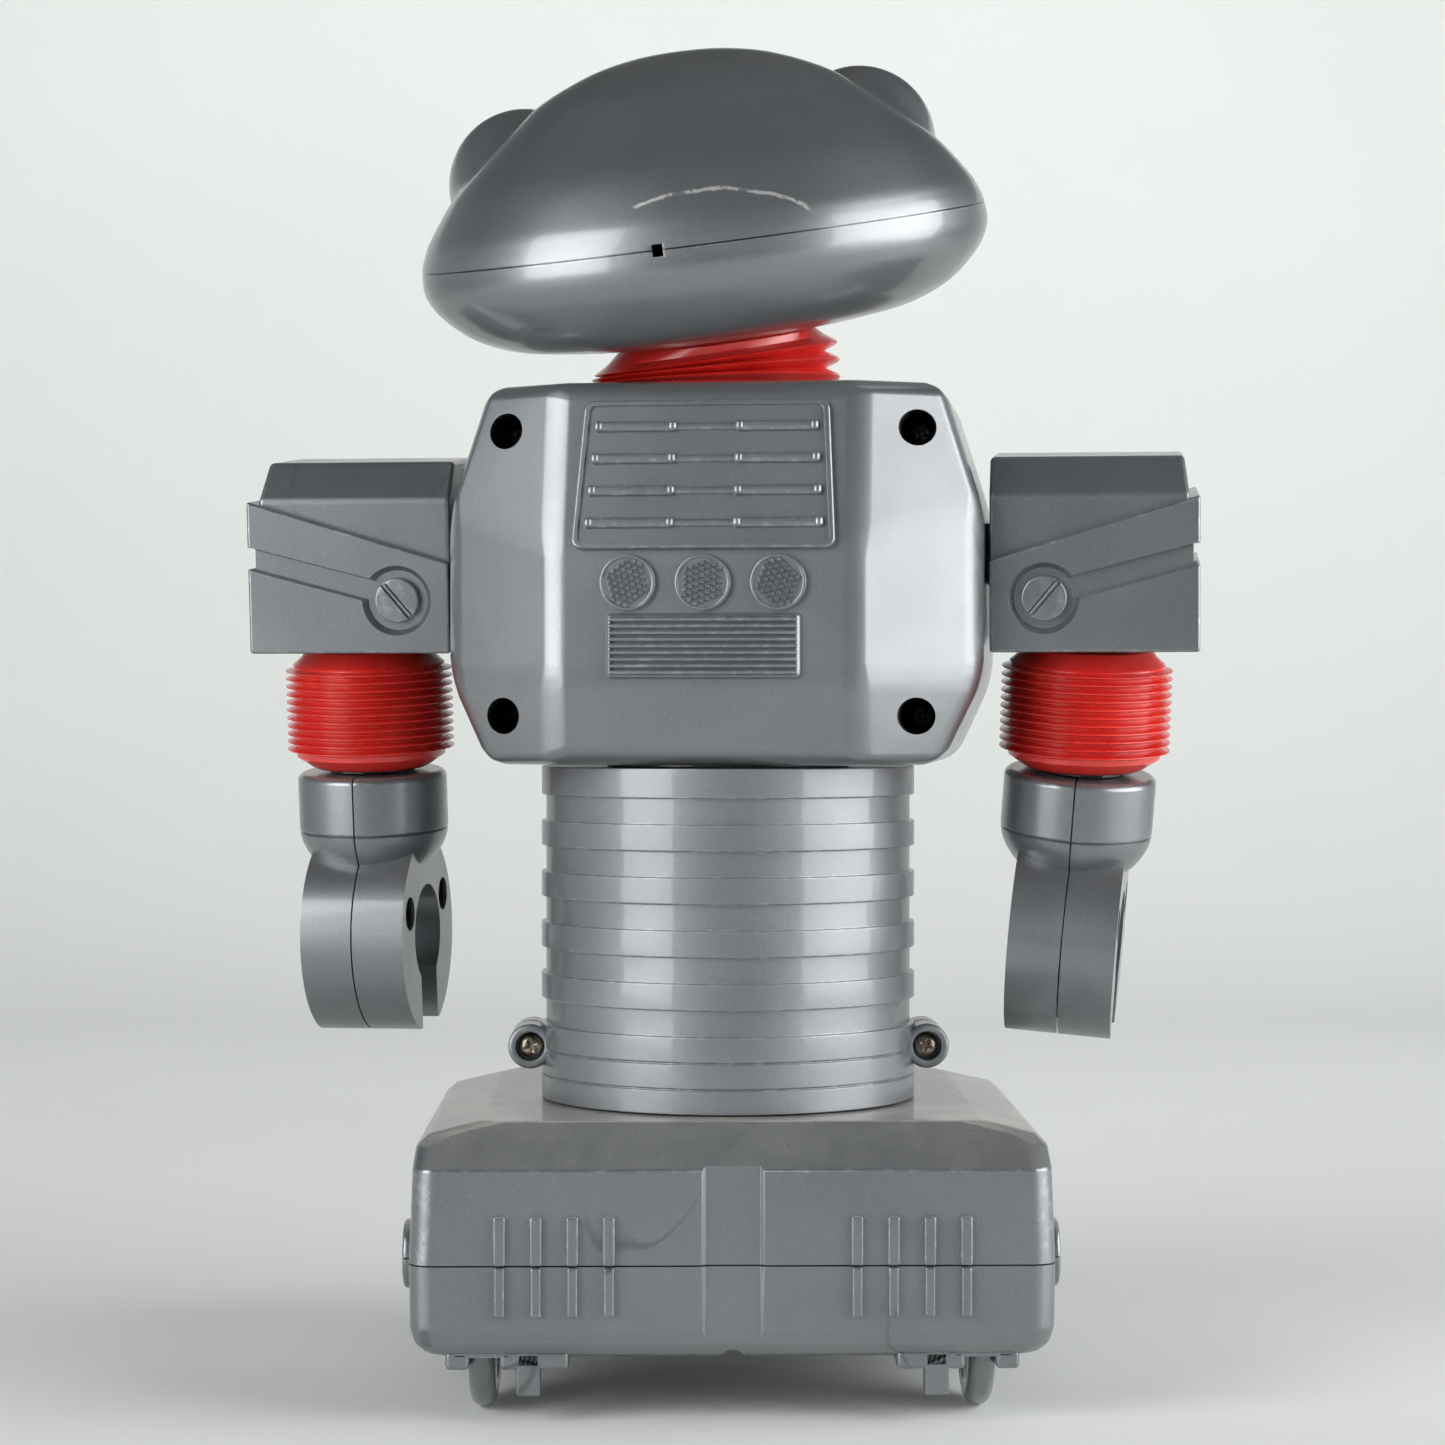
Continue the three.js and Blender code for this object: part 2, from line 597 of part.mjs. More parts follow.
// ---------------------------------------------------------------- neck and head
// The link turns about the pin; its stalk leans back with the head.
function neckLink() {
  const knuckle = cylinder('y', 4.6, -4, 4, [0, 0], 12);
  const stalkGeometry = new THREE.LatheGeometry([
    [0, 0], [3.6, 0], [3.6, 25.5], [8, 26.6], [8, 28.6], [5, 28.9], [5, 31.6], [3.4, 31.6], [3.4, 34.4], [0, 34.4],
  ].map(([r, z]) => new THREE.Vector2(r, z)), 16);
  stalkGeometry.rotateX(Math.PI / 2 + HEAD_PITCH);
  return cut(join(knuckle, toSolid(stalkGeometry)), cylinder('y', 1.9, -10, 10, [0, 0], 8));
}

function neckRetainer() {
  return turned([[3.7, -5.4], [9.5, -5.4], [9.5, -3.6], [3.7, -3.6], [3.7, -5.4]], 16);
}

function neckBellows() {
  return turned([
    [14, -2.2], [22.5, -2.2], [24.9, -0.8], [22.8, 0.6], [22.4, 2.2], [14, 2.2], [14, -2.2],
  ], 24);
}

const DOME = [[55.9, 0.15], [53.4, 6.1], [48.1, 13.4], [42.7, 18.2], [34.5, 24.9], [27.2, 30.2], [14.6, 34.9]];
const JAW = [[55.9, -0.15], [56.1, -4.1], [53.5, -8.8], [47.5, -14.4], [39.8, -17.5], [31, -18.9], [18, -20.2]];

function headUpper() {
  const inner = [[0, 33.9], [17.5, 31.4], [32.5, 23.6], [45.6, 12.8], [53.5, 0.15]];
  let dome = turned([...DOME, [0, 36.4], ...inner, DOME[0]], 24, HEAD_DEPTH_RATIO);
  for (const side of [1, -1]) {
    const bulge = new THREE.SphereGeometry(EYE.radius, 14, 8);
    bulge.translate(side * EYE.x, EYE.y, EYE.z);
    dome = join(dome, toSolid(bulge).intersect(above(0.15)));
    dome = cut(dome, cylinder('y', 11, -60, -30.5, [side * EYE.x, EYE.z], 14));
    const post = cylinder('z', 3.4, 0.3, 20, [side * 38, 8], 8);
    dome = cut(join(dome, post), cylinder('z', 1.6, -1, 9, [side * 38, 8], 6));
  }
  return cut(dome, box([HEAD_NOTCH_X - 1.5, HEAD_NOTCH_X + 1.5], [43, 60], [0, 1.6]));
}

function headLower() {
  const inner = [[18, -18], [31, -16.7], [46, -12.4], [51.4, -7.8], [53.5, -0.15]];
  let jaw = turned([...JAW, ...inner, JAW[0]], 24, HEAD_DEPTH_RATIO);
  const collar = turned([
    [18.2, -20.1], [21, -19.9], [21, -5.8], [5.5, -5.8], [5.5, -8], [18.2, -8], [18.2, -20.1],
  ], 20);
  jaw = join(cut(jaw, cylinder('z', 18.2, -30, 0, [0, 0], 16)), collar);
  for (const side of [1, -1]) {
    const tube = cylinder('z', 5, -17.5, -0.15, [side * 38, 8], 8);
    jaw = cut(join(jaw, tube), cylinder('z', 3, -30, -6, [side * 38, 8], 8));
    jaw = cut(jaw, cylinder('z', 1.7, -30, 2, [side * 38, 8], 6));
  }
  for (let i = 0; i < 5; i += 1) {
    const x = -16 + i * 8;
    jaw = cut(jaw, box([x - 1.2, x + 1.2], [-60, -40], [-11, -5]));
  }
  return cut(jaw, box([HEAD_NOTCH_X - 1.5, HEAD_NOTCH_X + 1.5], [43, 60], [-1.6, 0]));
}

function eyeLens(side) {
  const geometry = new THREE.LatheGeometry([
    [0, 0], [10.6, 0], [10.6, 1.8], [8.6, 3.6], [4.6, 4.9], [0, 5.3],
  ].map(([r, z]) => new THREE.Vector2(r, z)), 20);
  geometry.rotateX(Math.PI).translate(side * EYE.x, -30.8, EYE.z);
  return toSolid(geometry);
}

function headScrew(side) {
  const centre = [side * 38, 8];
  return join(cylinder('z', 2.6, -7.9, -6.3, centre, 8), cylinder('z', 1.3, -6.5, 7, centre, 6));
}

function buildHead(torso) {
  const tilt = new THREE.Group();
  tilt.position.set(0, NECK_PIVOT.y, NECK_PIVOT.z);
  tilt.rotation.y = HEAD_ROLL;
  torso.add(tilt);
  place(tilt, 'neck_link', neckLink(), black);

  const head = new THREE.Group();
  head.rotation.set(HEAD_PITCH, 0, HEAD_YAW, 'XYZ');
  head.position.set(0, -HEAD_RISE * Math.sin(HEAD_PITCH), HEAD_RISE * Math.cos(HEAD_PITCH));
  tilt.add(head);
  place(head, 'neck_retainer', neckRetainer(), steel);
  place(head, 'head_upper_casing', headUpper(), silver);
  place(head, 'head_lower_casing', headLower(), silver);
  place(head, 'eye_lens_left', eyeLens(1), amber);
  place(head, 'eye_lens_right', eyeLens(-1), amber);
  place(head, 'head_screw_left', headScrew(1), steel);
  place(head, 'head_screw_right', headScrew(-1), steel);

  const bellows = new THREE.Group();
  bellows.position.set(2.2, 2.3, 200.9);
  bellows.rotation.set(HEAD_PITCH / 2, HEAD_ROLL / 2, 0);
  torso.add(bellows);
  place(bellows, 'neck_bellows', neckBellows(), red);
}

// ---------------------------------------------------------------- arms
function armOuter(side) {
  const block = hull([-1, 1].flatMap((face) => [
    [side * ARM_INNER, face * ARM_HALF_DEPTH, ARM_FOOT],
    [side * ARM_OUTER, face * ARM_HALF_DEPTH, ARM_FOOT],
    [side * ARM_INNER, face * ARM_HALF_DEPTH, ARM_FOLD],
    [side * ARM_OUTER, face * ARM_HALF_DEPTH, ARM_FOLD],
    [side * ARM_INNER, face * 12, ARM_TOP],
    [side * (ARM_OUTER - 1), face * 12, ARM_TOP],
  ]));
  const reach = ARM_OUTER + ARM_PROUD;
  const depth = ARM_HALF_DEPTH + ARM_PROUD;
  const wedge = hull([-1, 1].flatMap((face) => [
    [side * ARM_INNER, face * depth, ARM_FOOT],
    [side * reach, face * depth, ARM_FOOT],
    [side * reach, face * depth, 12.2],
    [side * ARM_INNER, face * depth, 0],
  ]));
  return join(block, wedge);
}

// Slanting groove that runs from the outer edge to a round recess with a raised disc.
function armGroove(side, face) {
  const from = ARM_HALF_DEPTH + ARM_PROUD - 1.3;
  const band = hull([from, from + 5].flatMap((y) => [
    [side * 62, face * y, -9.6], [side * 62, face * y, -5.4],
    [side * 98, face * y, 0.3], [side * 98, face * y, 4.3],
  ]));
  const centre = [side * ARM_BOSS.x, ARM_BOSS.z];
  const ring = cylinder('y', 7.1, face * from, face * (from + 5), centre, 14);
  const disc = cylinder('y', 4.3, face * (from - 1), face * (from + 1.1), centre, 12);
  return cut(join(band, ring), disc);
}

function upperArm(side) {
  let arm = cut(armOuter(side), armGroove(side, 1), armGroove(side, -1));
  arm = cut(arm, box([side * (ARM_INNER + WALL), side * 88.8], [-15.8, 15.8], [ARM_FOOT + WALL, 11]));
  arm = cut(arm, box([side * 91.8, side * 99], [-30, 30], [-1.2, 3]));
  arm = cut(arm, cylinder('z', 9, -30, -10, [side * ARM_AXIS + ELBOW_SHIFT, 0], 14));
  return cut(arm, cylinder('x', SHOULDER_HOLE, side * 50, side * 60, [0, 0], 12));
}

function shoulderPivot(side) {
  return join(
    cylinder('x', 6, side * 46.4, side * 57, [0, 0], 12),
    cylinder('x', 9, side * 46, side * 48.6, [0, 0], 12),
    cylinder('x', 9, side * 55.5, side * 57.5, [0, 0], 12),
  );
}

function armBellows() {
  return turned([
    [9.5, 12.2], [12.7, 12.2], [16.9, 8.8], [16.9, -8.2], [11.2, -12.2], [9.5, -12.2], [9.5, 12.2],
  ], 24);
}

function wristPlug() {
  return turned([
    [0, -5], [8.8, -5], [8.8, -12.4], [5, -12.4], [5, -17.6], [7.1, -17.6], [7.1, -19.6], [0, -19.6],
  ], 12);
}

// C-shaped claw with its collar; the ring's axis is X and its mouth faces down.
function claw() {
  const collar = turned([
    [0, -12.7], [13.9, -12.7], [15.1, -14], [15.1, -24.4], [13, -27.4], [0, -27.4],
  ], 20);
  const ring = cylinder('x', HAND_RADIUS, -HAND_HALF_WIDTH, HAND_HALF_WIDTH, [0, HAND_CENTRE], 24);
  let hand = join(collar, ring).subtract(below(HAND_BOTTOM));
  hand = cut(hand, cylinder('x', HAND_HOLE, -20, 20, [0, HAND_CENTRE], 20));
  hand = cut(hand, box([-20, 20], [-6, 6], [-70, HAND_CENTRE]));
  return cut(hand, turned([[0, -10], [5.3, -10], [5.3, -17.3], [7.6, -17.3], [7.6, -20], [0, -20]], 12));
}

function clawHalf(bored) {
  let half = claw().intersect(bored ? minusX(-GAP / 2) : plusX(GAP / 2));
  for (const y of [-13, 13]) {
    const centre = [y, HAND_CENTRE + 6];
    if (bored) half = cut(half, cylinder('x', 3.4, -20, -4, centre, 8));
    half = cut(half, cylinder('x', 1.6, -10, 7, centre, 6));
  }
  return half;
}

function clawScrew(y) {
  const centre = [y, HAND_CENTRE + 6];
  return join(cylinder('x', 2.7, -5.8, -4.3, centre, 8), cylinder('x', 1.3, -4.4, 6, centre, 6));
}

function buildArm(torso, name, side, bend) {
  const arm = new THREE.Group();
  arm.position.set(0, 0, SHOULDER_Z);
  arm.rotation.x = ARM_SWING;
  torso.add(arm);
  place(arm, `${name}_arm_back_half`, upperArm(side).intersect(behind(GAP / 2)), silver);
  place(arm, `${name}_arm_front_half`, upperArm(side).intersect(before(-GAP / 2)), silver);
  place(arm, `${name}_shoulder_pivot`, shoulderPivot(side), black);

  const bellows = new THREE.Group();
  bellows.position.set(side * ARM_AXIS + ELBOW_SHIFT, 0, -ELBOW_DROP);
  bellows.rotation.set(bend.x / 2, bend.y / 2, 0);
  arm.add(bellows);
  place(bellows, `${name}_arm_bellows`, armBellows(), red);

  const wrist = new THREE.Group();
  wrist.position.copy(bellows.position);
  wrist.rotation.set(bend.x, bend.y, 0);
  arm.add(wrist);
  place(wrist, `${name}_wrist_plug`, wristPlug(), black);

  const hand = new THREE.Group();
  hand.rotation.z = HAND_TWIST;
  wrist.add(hand);
  place(hand, `${name}_claw_bored_half`, clawHalf(true), silver);
  place(hand, `${name}_claw_plain_half`, clawHalf(false), silver);
  place(hand, `${name}_claw_screw_front`, clawScrew(-13), steel);
  place(hand, `${name}_claw_screw_rear`, clawScrew(13), steel);
}

// ---------------------------------------------------------------- assembly
const robot = new THREE.Group();
robot.name = 'toy_robot';
const body = new THREE.Group();
body.position.y = COLUMN_Y;
robot.add(body);
buildBase(body);
buildColumn(body);

const torso = new THREE.Group();
torso.rotation.z = TORSO_YAW;
body.add(torso);
buildTorso(torso);
buildHead(torso);
buildArm(torso, 'left', 1, { x: 0, y: 0.6 * DEG });
buildArm(torso, 'right', -1, { x: -2.7 * DEG, y: -4.6 * DEG });

export default robot;
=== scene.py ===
"""Toy robot in silver-grey plastic with red bellows: the looks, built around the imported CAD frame.

Shapes are drawn in millimetres in the same local frames as the CAD (base, torso, arm, wrist, hand,
head) and put in place by matrices that are worked out from the frame's joints.
"""
import json
import math

import bmesh
import bpy
from mathutils import Matrix, Vector


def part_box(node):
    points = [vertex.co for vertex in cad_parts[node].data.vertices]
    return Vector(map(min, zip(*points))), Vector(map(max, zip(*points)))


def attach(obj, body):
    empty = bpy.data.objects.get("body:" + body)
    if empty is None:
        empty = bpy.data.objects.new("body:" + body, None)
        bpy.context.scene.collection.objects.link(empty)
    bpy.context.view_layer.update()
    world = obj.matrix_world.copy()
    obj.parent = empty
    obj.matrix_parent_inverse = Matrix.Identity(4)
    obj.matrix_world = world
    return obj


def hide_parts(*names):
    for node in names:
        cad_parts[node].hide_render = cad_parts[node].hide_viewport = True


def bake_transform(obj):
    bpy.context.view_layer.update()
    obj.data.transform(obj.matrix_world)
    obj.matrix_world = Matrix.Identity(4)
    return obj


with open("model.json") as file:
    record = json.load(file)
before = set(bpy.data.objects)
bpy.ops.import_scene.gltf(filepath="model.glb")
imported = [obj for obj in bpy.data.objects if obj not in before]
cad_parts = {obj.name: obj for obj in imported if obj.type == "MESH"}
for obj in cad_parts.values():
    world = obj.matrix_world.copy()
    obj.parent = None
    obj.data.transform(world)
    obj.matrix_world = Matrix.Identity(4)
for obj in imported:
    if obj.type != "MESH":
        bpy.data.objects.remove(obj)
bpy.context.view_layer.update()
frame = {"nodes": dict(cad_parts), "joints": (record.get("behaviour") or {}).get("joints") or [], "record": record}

MM = 0.001
JOINTS = {joint["name"]: joint for joint in frame["joints"]}

# ------------------------------------------------------------------ driving dimensions, mm
GAP = 0.3
WALL = 2.2
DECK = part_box("base_upper_casing")[1][2] / MM
BASE_BOTTOM = 12.5
PARTING = 30.1
BASE_HALF = 60.3
BASE_BACK = 51.0
BASE_FRONT = -75.0
CORNER = 4.5
CHAMFER = (9.5, 22.0)
BAR_XS = [23.0 + 6.76 * i for i in range(4)]
CHANNEL_HALF = 5.35
WHEEL_RADIUS = 18.0
WHEEL_X = 47.0
COLUMN_RADIUS = 37.2
COLUMN_RECESS = 36.3
COLUMN_TOP = 121.9
BAND_START = 71.0
BAND_PITCH = 5.03
BANDS = 9
LUG_X = 39.2
LUG_Z = 66.6
SHOULDER_Z = JOINTS["left_shoulder_swing"]["pos_m"][2] / MM
SIDES = (("left", 1), ("right", -1))
TRAY_SCREWS = [(45, -9.7), (-45, -9.7), (20, -66), (-20, -66)]
TORSO_SCREWS = [(39.7, 186.8), (-39.7, 186.8), (39.7, 131.9), (-39.7, 131.9)]
ARM_INNER = 52.9
ARM_OUTER = 91.2
ARM_DEPTH = 18.0
ARM_PROUD = 2.0
ARM_FOOT = -17.9
ARM_TOP = 19.5
ARM_FOLD = 12.3
ARM_BOSS = (63.4, -7.4)
HAND_CENTRE = -46.2
HAND_BOTTOM = -64.8
HAND_TWIST = math.radians(-3)
CLAW_SCREW_Y = 13.0
CLAW_SCREW_Z = HAND_CENTRE + 6
ELBOW_X = 72.4
ELBOW_SHIFT = 1.3
SHOULDER_HOLE = 6.4
EYE = (34.0, -19.0, 14.1)
EYE_RADIUS = 15.5
NOTCH_X = 9.5
NOTCH_HALF = 1.0
HEAD_DEPTH = 0.86
HEAD_YAW = math.radians(7.2)

# ------------------------------------------------------------------ local frames
COLUMN_Y = JOINTS["waist_turn"]["pos_m"][1]
TO_METRES = Matrix.Scale(MM, 4)
BASE = Matrix.Translation((0, COLUMN_Y, 0))
across = JOINTS["left_shoulder_swing"]["axis"]
TORSO = BASE @ Matrix.Rotation(math.atan2(across[1], across[0]), 4, "Z")


def arm_frames(side):
    """Arm, wrist and hand matrices of one side, from its joints."""
    elbow = TORSO.inverted() @ Vector(JOINTS[f"{side}_arm_bend"]["pos_m"])
    drop = elbow.z - SHOULDER_Z * MM
    swing = math.atan2(elbow.y, -drop)
    arm = TORSO @ Matrix.Translation((0, 0, SHOULDER_Z * MM)) @ Matrix.Rotation(swing, 4, "X")
    axis = arm.to_3x3().inverted() @ Vector(JOINTS[f"{side}_hand_turn"]["axis"])
    lean = math.asin(axis.x)
    nod = math.atan2(-axis.y, axis.z)
    at_elbow = Matrix.Translation(arm.inverted() @ Vector(JOINTS[f"{side}_arm_bend"]["pos_m"]))
    wrist = arm @ at_elbow @ Matrix.Rotation(nod, 4, "X") @ Matrix.Rotation(lean, 4, "Y")
    half = arm @ at_elbow @ Matrix.Rotation(nod / 2, 4, "X") @ Matrix.Rotation(lean / 2, 4, "Y")
    hand = wrist @ Matrix.Rotation(HAND_TWIST, 4, "Z")
    return {"arm": arm, "wrist": wrist, "bellows": half, "hand": hand}


ARMS = {side: arm_frames(side) for side in ("left", "right")}


def head_frame():
    """Origin at the middle of the head's parting plane, +Z along the neck's turning axis."""
    axis = TORSO.to_3x3().inverted() @ Vector(JOINTS["head_turn"]["axis"])
    pitch = -math.asin(axis.y)
    roll = math.atan2(axis.x, axis.z)
    turn = Matrix.Rotation(roll, 4, "Y") @ Matrix.Rotation(pitch, 4, "X")
    turn = turn @ Matrix.Rotation(HEAD_YAW, 4, "Z")
    place = Matrix.Translation(TORSO.inverted() @ Vector(JOINTS["head_turn"]["pos_m"]))
    return TORSO @ place @ turn


HEAD = head_frame()


# ------------------------------------------------------------------ mesh tools, all in mm
def hull(points):
    bm = bmesh.new()
    for point in points:
        bm.verts.new(point)
    result = bmesh.ops.convex_hull(bm, input=list(bm.verts))
    inside = {g for g in result["geom_interior"] if isinstance(g, bmesh.types.BMVert)}
    bmesh.ops.delete(bm, geom=list(inside), context="VERTS")
    bmesh.ops.dissolve_limit(bm, angle_limit=math.radians(0.4), verts=list(bm.verts), edges=list(bm.edges))
    return bm


def round_edges(bm, width, segments=3, above=30.0, below=181.0):
    """Rounds every edge whose faces meet at more than a given angle."""
    edges = []
    for edge in bm.edges:
        if len(edge.link_faces) == 2 and above < math.degrees(edge.calc_face_angle(0.0)) < below:
            edges.append(edge)
    bmesh.ops.bevel(
        bm, geom=edges, offset=width, offset_type="OFFSET", segments=segments,
        profile=0.5, affect="EDGES", clamp_overlap=True,
    )
    return bm


def block(x, y, z, radius=0.0, segments=3):
    """Box between two x, two y and two z values, with rounded edges."""
    bm = bmesh.new()
    bmesh.ops.create_cube(bm, size=1.0)
    size = Vector((abs(x[1] - x[0]), abs(y[1] - y[0]), abs(z[1] - z[0])))
    middle = Vector(((x[0] + x[1]) / 2, (y[0] + y[1]) / 2, (z[0] + z[1]) / 2))
    moved(bm, Matrix.Translation(middle) @ Matrix.Diagonal((*size, 1.0)))
    if radius:
        round_edges(bm, min(radius, 0.49 * min(size)), segments)
    return bm


AXIS_TURN = {
    "x": Matrix.Rotation(math.pi / 2, 4, "Y"),
    "y": Matrix.Rotation(-math.pi / 2, 4, "X"),
    "z": Matrix.Identity(4),
}


def revolve(profile, sides=96, axis="z", centre=(0, 0, 0), depth=1.0, span=None):
    """Revolves a closed loop of (radius, height) points; span = (start, end) makes a capped part turn."""
    bm = bmesh.new()
    start, end = span or (0.0, 2 * math.pi)
    count = sides if span is None else sides + 1
    rings = []
    for i in range(count):
        angle = start + (end - start) * i / sides
        ring = []
        for radius, height in profile:
            point = (radius * math.cos(angle), depth * radius * math.sin(angle), height)
            ring.append(bm.verts.new(point))
        rings.append(ring)
    for i in range(sides):
        here, there = rings[i], rings[(i + 1) % count]
        for j in range(len(profile)):
            k = (j + 1) % len(profile)
            bm.faces.new((here[j], there[j], there[k], here[k]))
    if span is not None:
        bm.faces.new(rings[0])
        bm.faces.new(list(reversed(rings[-1])))
    bmesh.ops.remove_doubles(bm, verts=list(bm.verts), dist=1e-4)
    bmesh.ops.dissolve_degenerate(bm, dist=1e-5, edges=list(bm.edges))
    bmesh.ops.recalc_face_normals(bm, faces=list(bm.faces))
    matrix = Matrix.Translation(centre) @ AXIS_TURN[axis]
    bmesh.ops.transform(bm, matrix=matrix, verts=bm.verts)
    return bm


def disc(axis, radius, start, end, centre, sides=64):
    """Plain cylinder from start to end along one axis; centre gives the two other coordinates."""
    low, high = min(start, end), max(start, end)
    place = {"x": (0, *centre), "y": (centre[0], 0, centre[1]), "z": (*centre, 0)}[axis]
    return revolve([(0, low), (radius, low), (radius, high), (0, high)], sides, axis, place)


def rounded_profile(points, radius, steps=3):
    """Rounds the corners of a closed profile, apart from those on the axis."""
    result = []
    count = len(points)
    for i, corner in enumerate(points):
        here = Vector(corner)
        before, after = Vector(points[i - 1]) - here, Vector(points[(i + 1) % count]) - here
        reach = min(radius, 0.45 * before.length, 0.45 * after.length)
        if reach < 0.02 or corner[0] < 1e-6:
            result.append(tuple(here))
            continue
        a, b = here + before.normalized() * reach, here + after.normalized() * reach
        for step in range(steps + 1):
            t = step / steps
            point = a * (1 - t) ** 2 + here * 2 * t * (1 - t) + b * t ** 2
            result.append(tuple(point))
    return result


def smooth_curve(points, steps=6):
    """Catmull-Rom curve through the points."""
    result = []
    padded = [points[0], *points, points[-1]]
    for i in range(1, len(padded) - 2):
        p0, p1, p2, p3 = (Vector(p) for p in padded[i - 1:i + 3])
        for step in range(steps):
            t = step / steps
            result.append(tuple(0.5 * (
                2 * p1 + (p2 - p0) * t + (2 * p0 - 5 * p1 + 4 * p2 - p3) * t ** 2
                + (3 * p1 - p0 - 3 * p2 + p3) * t ** 3
            )))
    result.append(tuple(points[-1]))
    return result


def new_object(name, data):
    made = bpy.data.objects.new(name, data)
    bpy.context.scene.collection.objects.link(made)
    return made


def object_from(bm, name="working_object"):
    mesh = bpy.data.meshes.new(name)
    bm.to_mesh(mesh)
    return new_object(name, mesh)


def apply_modifiers(bm, one, *others):
    """Puts the modified mesh of the first object in bm, then removes the working objects."""
    bpy.context.view_layer.update()
    evaluated = one.evaluated_get(bpy.context.evaluated_depsgraph_get())
    result = bpy.data.meshes.new_from_object(evaluated)
    bm.clear()
    bm.from_mesh(result)
    bpy.data.meshes.remove(result)
    for made in (one, *others):
        mesh = made.data
        bpy.data.objects.remove(made)
        bpy.data.meshes.remove(mesh)


def boolean(bm, other, operation="DIFFERENCE"):
    """Cuts, joins or intersects two closed meshes and leaves the result in the first."""
    one, two = object_from(bm), object_from(other)
    modifier = one.modifiers.new("boolean", "BOOLEAN")
    modifier.object = two
    modifier.operation = operation
    modifier.solver = "EXACT"
    apply_modifiers(bm, one, two)
    bmesh.ops.remove_doubles(bm, verts=list(bm.verts), dist=2e-4)
    return bm


def cut(bm, *tools):
    for tool in tools:
        boolean(bm, tool)
    return bm


def keep(bm, x=(-400, 400), y=(-400, 400), z=(-400, 400)):
    return boolean(bm, block(x, y, z), "INTERSECT")


def merged(*parts):
    """Puts several meshes in one, side by side."""
    bm = bmesh.new()
    for part in parts:
        mesh = bpy.data.meshes.new("working_mesh")
        part.to_mesh(mesh)
        bm.from_mesh(mesh)
        bpy.data.meshes.remove(mesh)
    return bm


def moved(bm, matrix):
    bmesh.ops.transform(bm, matrix=matrix, verts=bm.verts)
    return bm


def mirrored(bm, axis):
    """Mirrors a mesh across the plane through the origin, square to the axis."""
    scale = {"x": (-1, 1, 1, 1), "y": (1, -1, 1, 1)}[axis]
    moved(bm, Matrix.Diagonal(scale))
    bmesh.ops.reverse_faces(bm, faces=list(bm.faces))
    return bm


def painted_shade(bm):
    """Marks a mesh for the second material of its piece, a near-black painted shade."""
    for face in bm.faces:
        face.material_index = 1
    return bm


SHARP = math.radians(42)
WEAR_AND_HIGHLIGHT_WIDTH = 0.00035
WEAR_AND_HIGHLIGHT_BEND = math.radians(12)


def mark_worn_and_highlit_edges(bm):
    """Marks the narrow faces along bends, where the finish rubs off and where a highlight is painted."""
    wear_and_highlight = bm.faces.layers.float.new("edge_wear_and_highlight")
    for face in bm.faces:
        longest = max(e.calc_length() for e in face.edges)
        bends = [e.calc_face_angle(0.0) for e in face.edges if len(e.link_faces) == 2]
        if face.calc_area() / longest < WEAR_AND_HIGHLIGHT_WIDTH and max(bends, default=0.0) > WEAR_AND_HIGHLIGHT_BEND:
            face[wear_and_highlight] = 1.0


def piece(name, bm, matrix, body, slot, material, replaced=()):
    """Makes the object of one visible piece, in metres, riding on its body."""
    bmesh.ops.transform(bm, matrix=matrix @ TO_METRES, verts=bm.verts)
    bm.normal_update()
    mark_worn_and_highlit_edges(bm)
    for face in bm.faces:
        face.smooth = True
    for edge in bm.edges:
        if len(edge.link_faces) == 2 and edge.calc_face_angle(0.0) > SHARP:
            edge.smooth = False
    made = object_from(bm, name)
    weighted = made.modifiers.new("weighted_normals", "WEIGHTED_NORMAL")
    weighted.keep_sharp = True
    weighted.weight = 90
    made.data.materials.append(material)
    # Second slot of silver pieces: near-black painted shade for the insides of deep wells and holes.
    if slot == "silver_plastic":
        made.data.materials.append(WELL_PAINTED_SHADE)
    if body:
        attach(made, body)
    if replaced:
        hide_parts(*replaced)
    return made


def silver_piece(name, bm, matrix, body, node=None, look=None):
    """Piece in silver plastic that stands in for one CAD node, or adds to the object if none is given."""
    return piece(name, bm, matrix, body, "silver_plastic", look or SILVER, [node] if node else ())


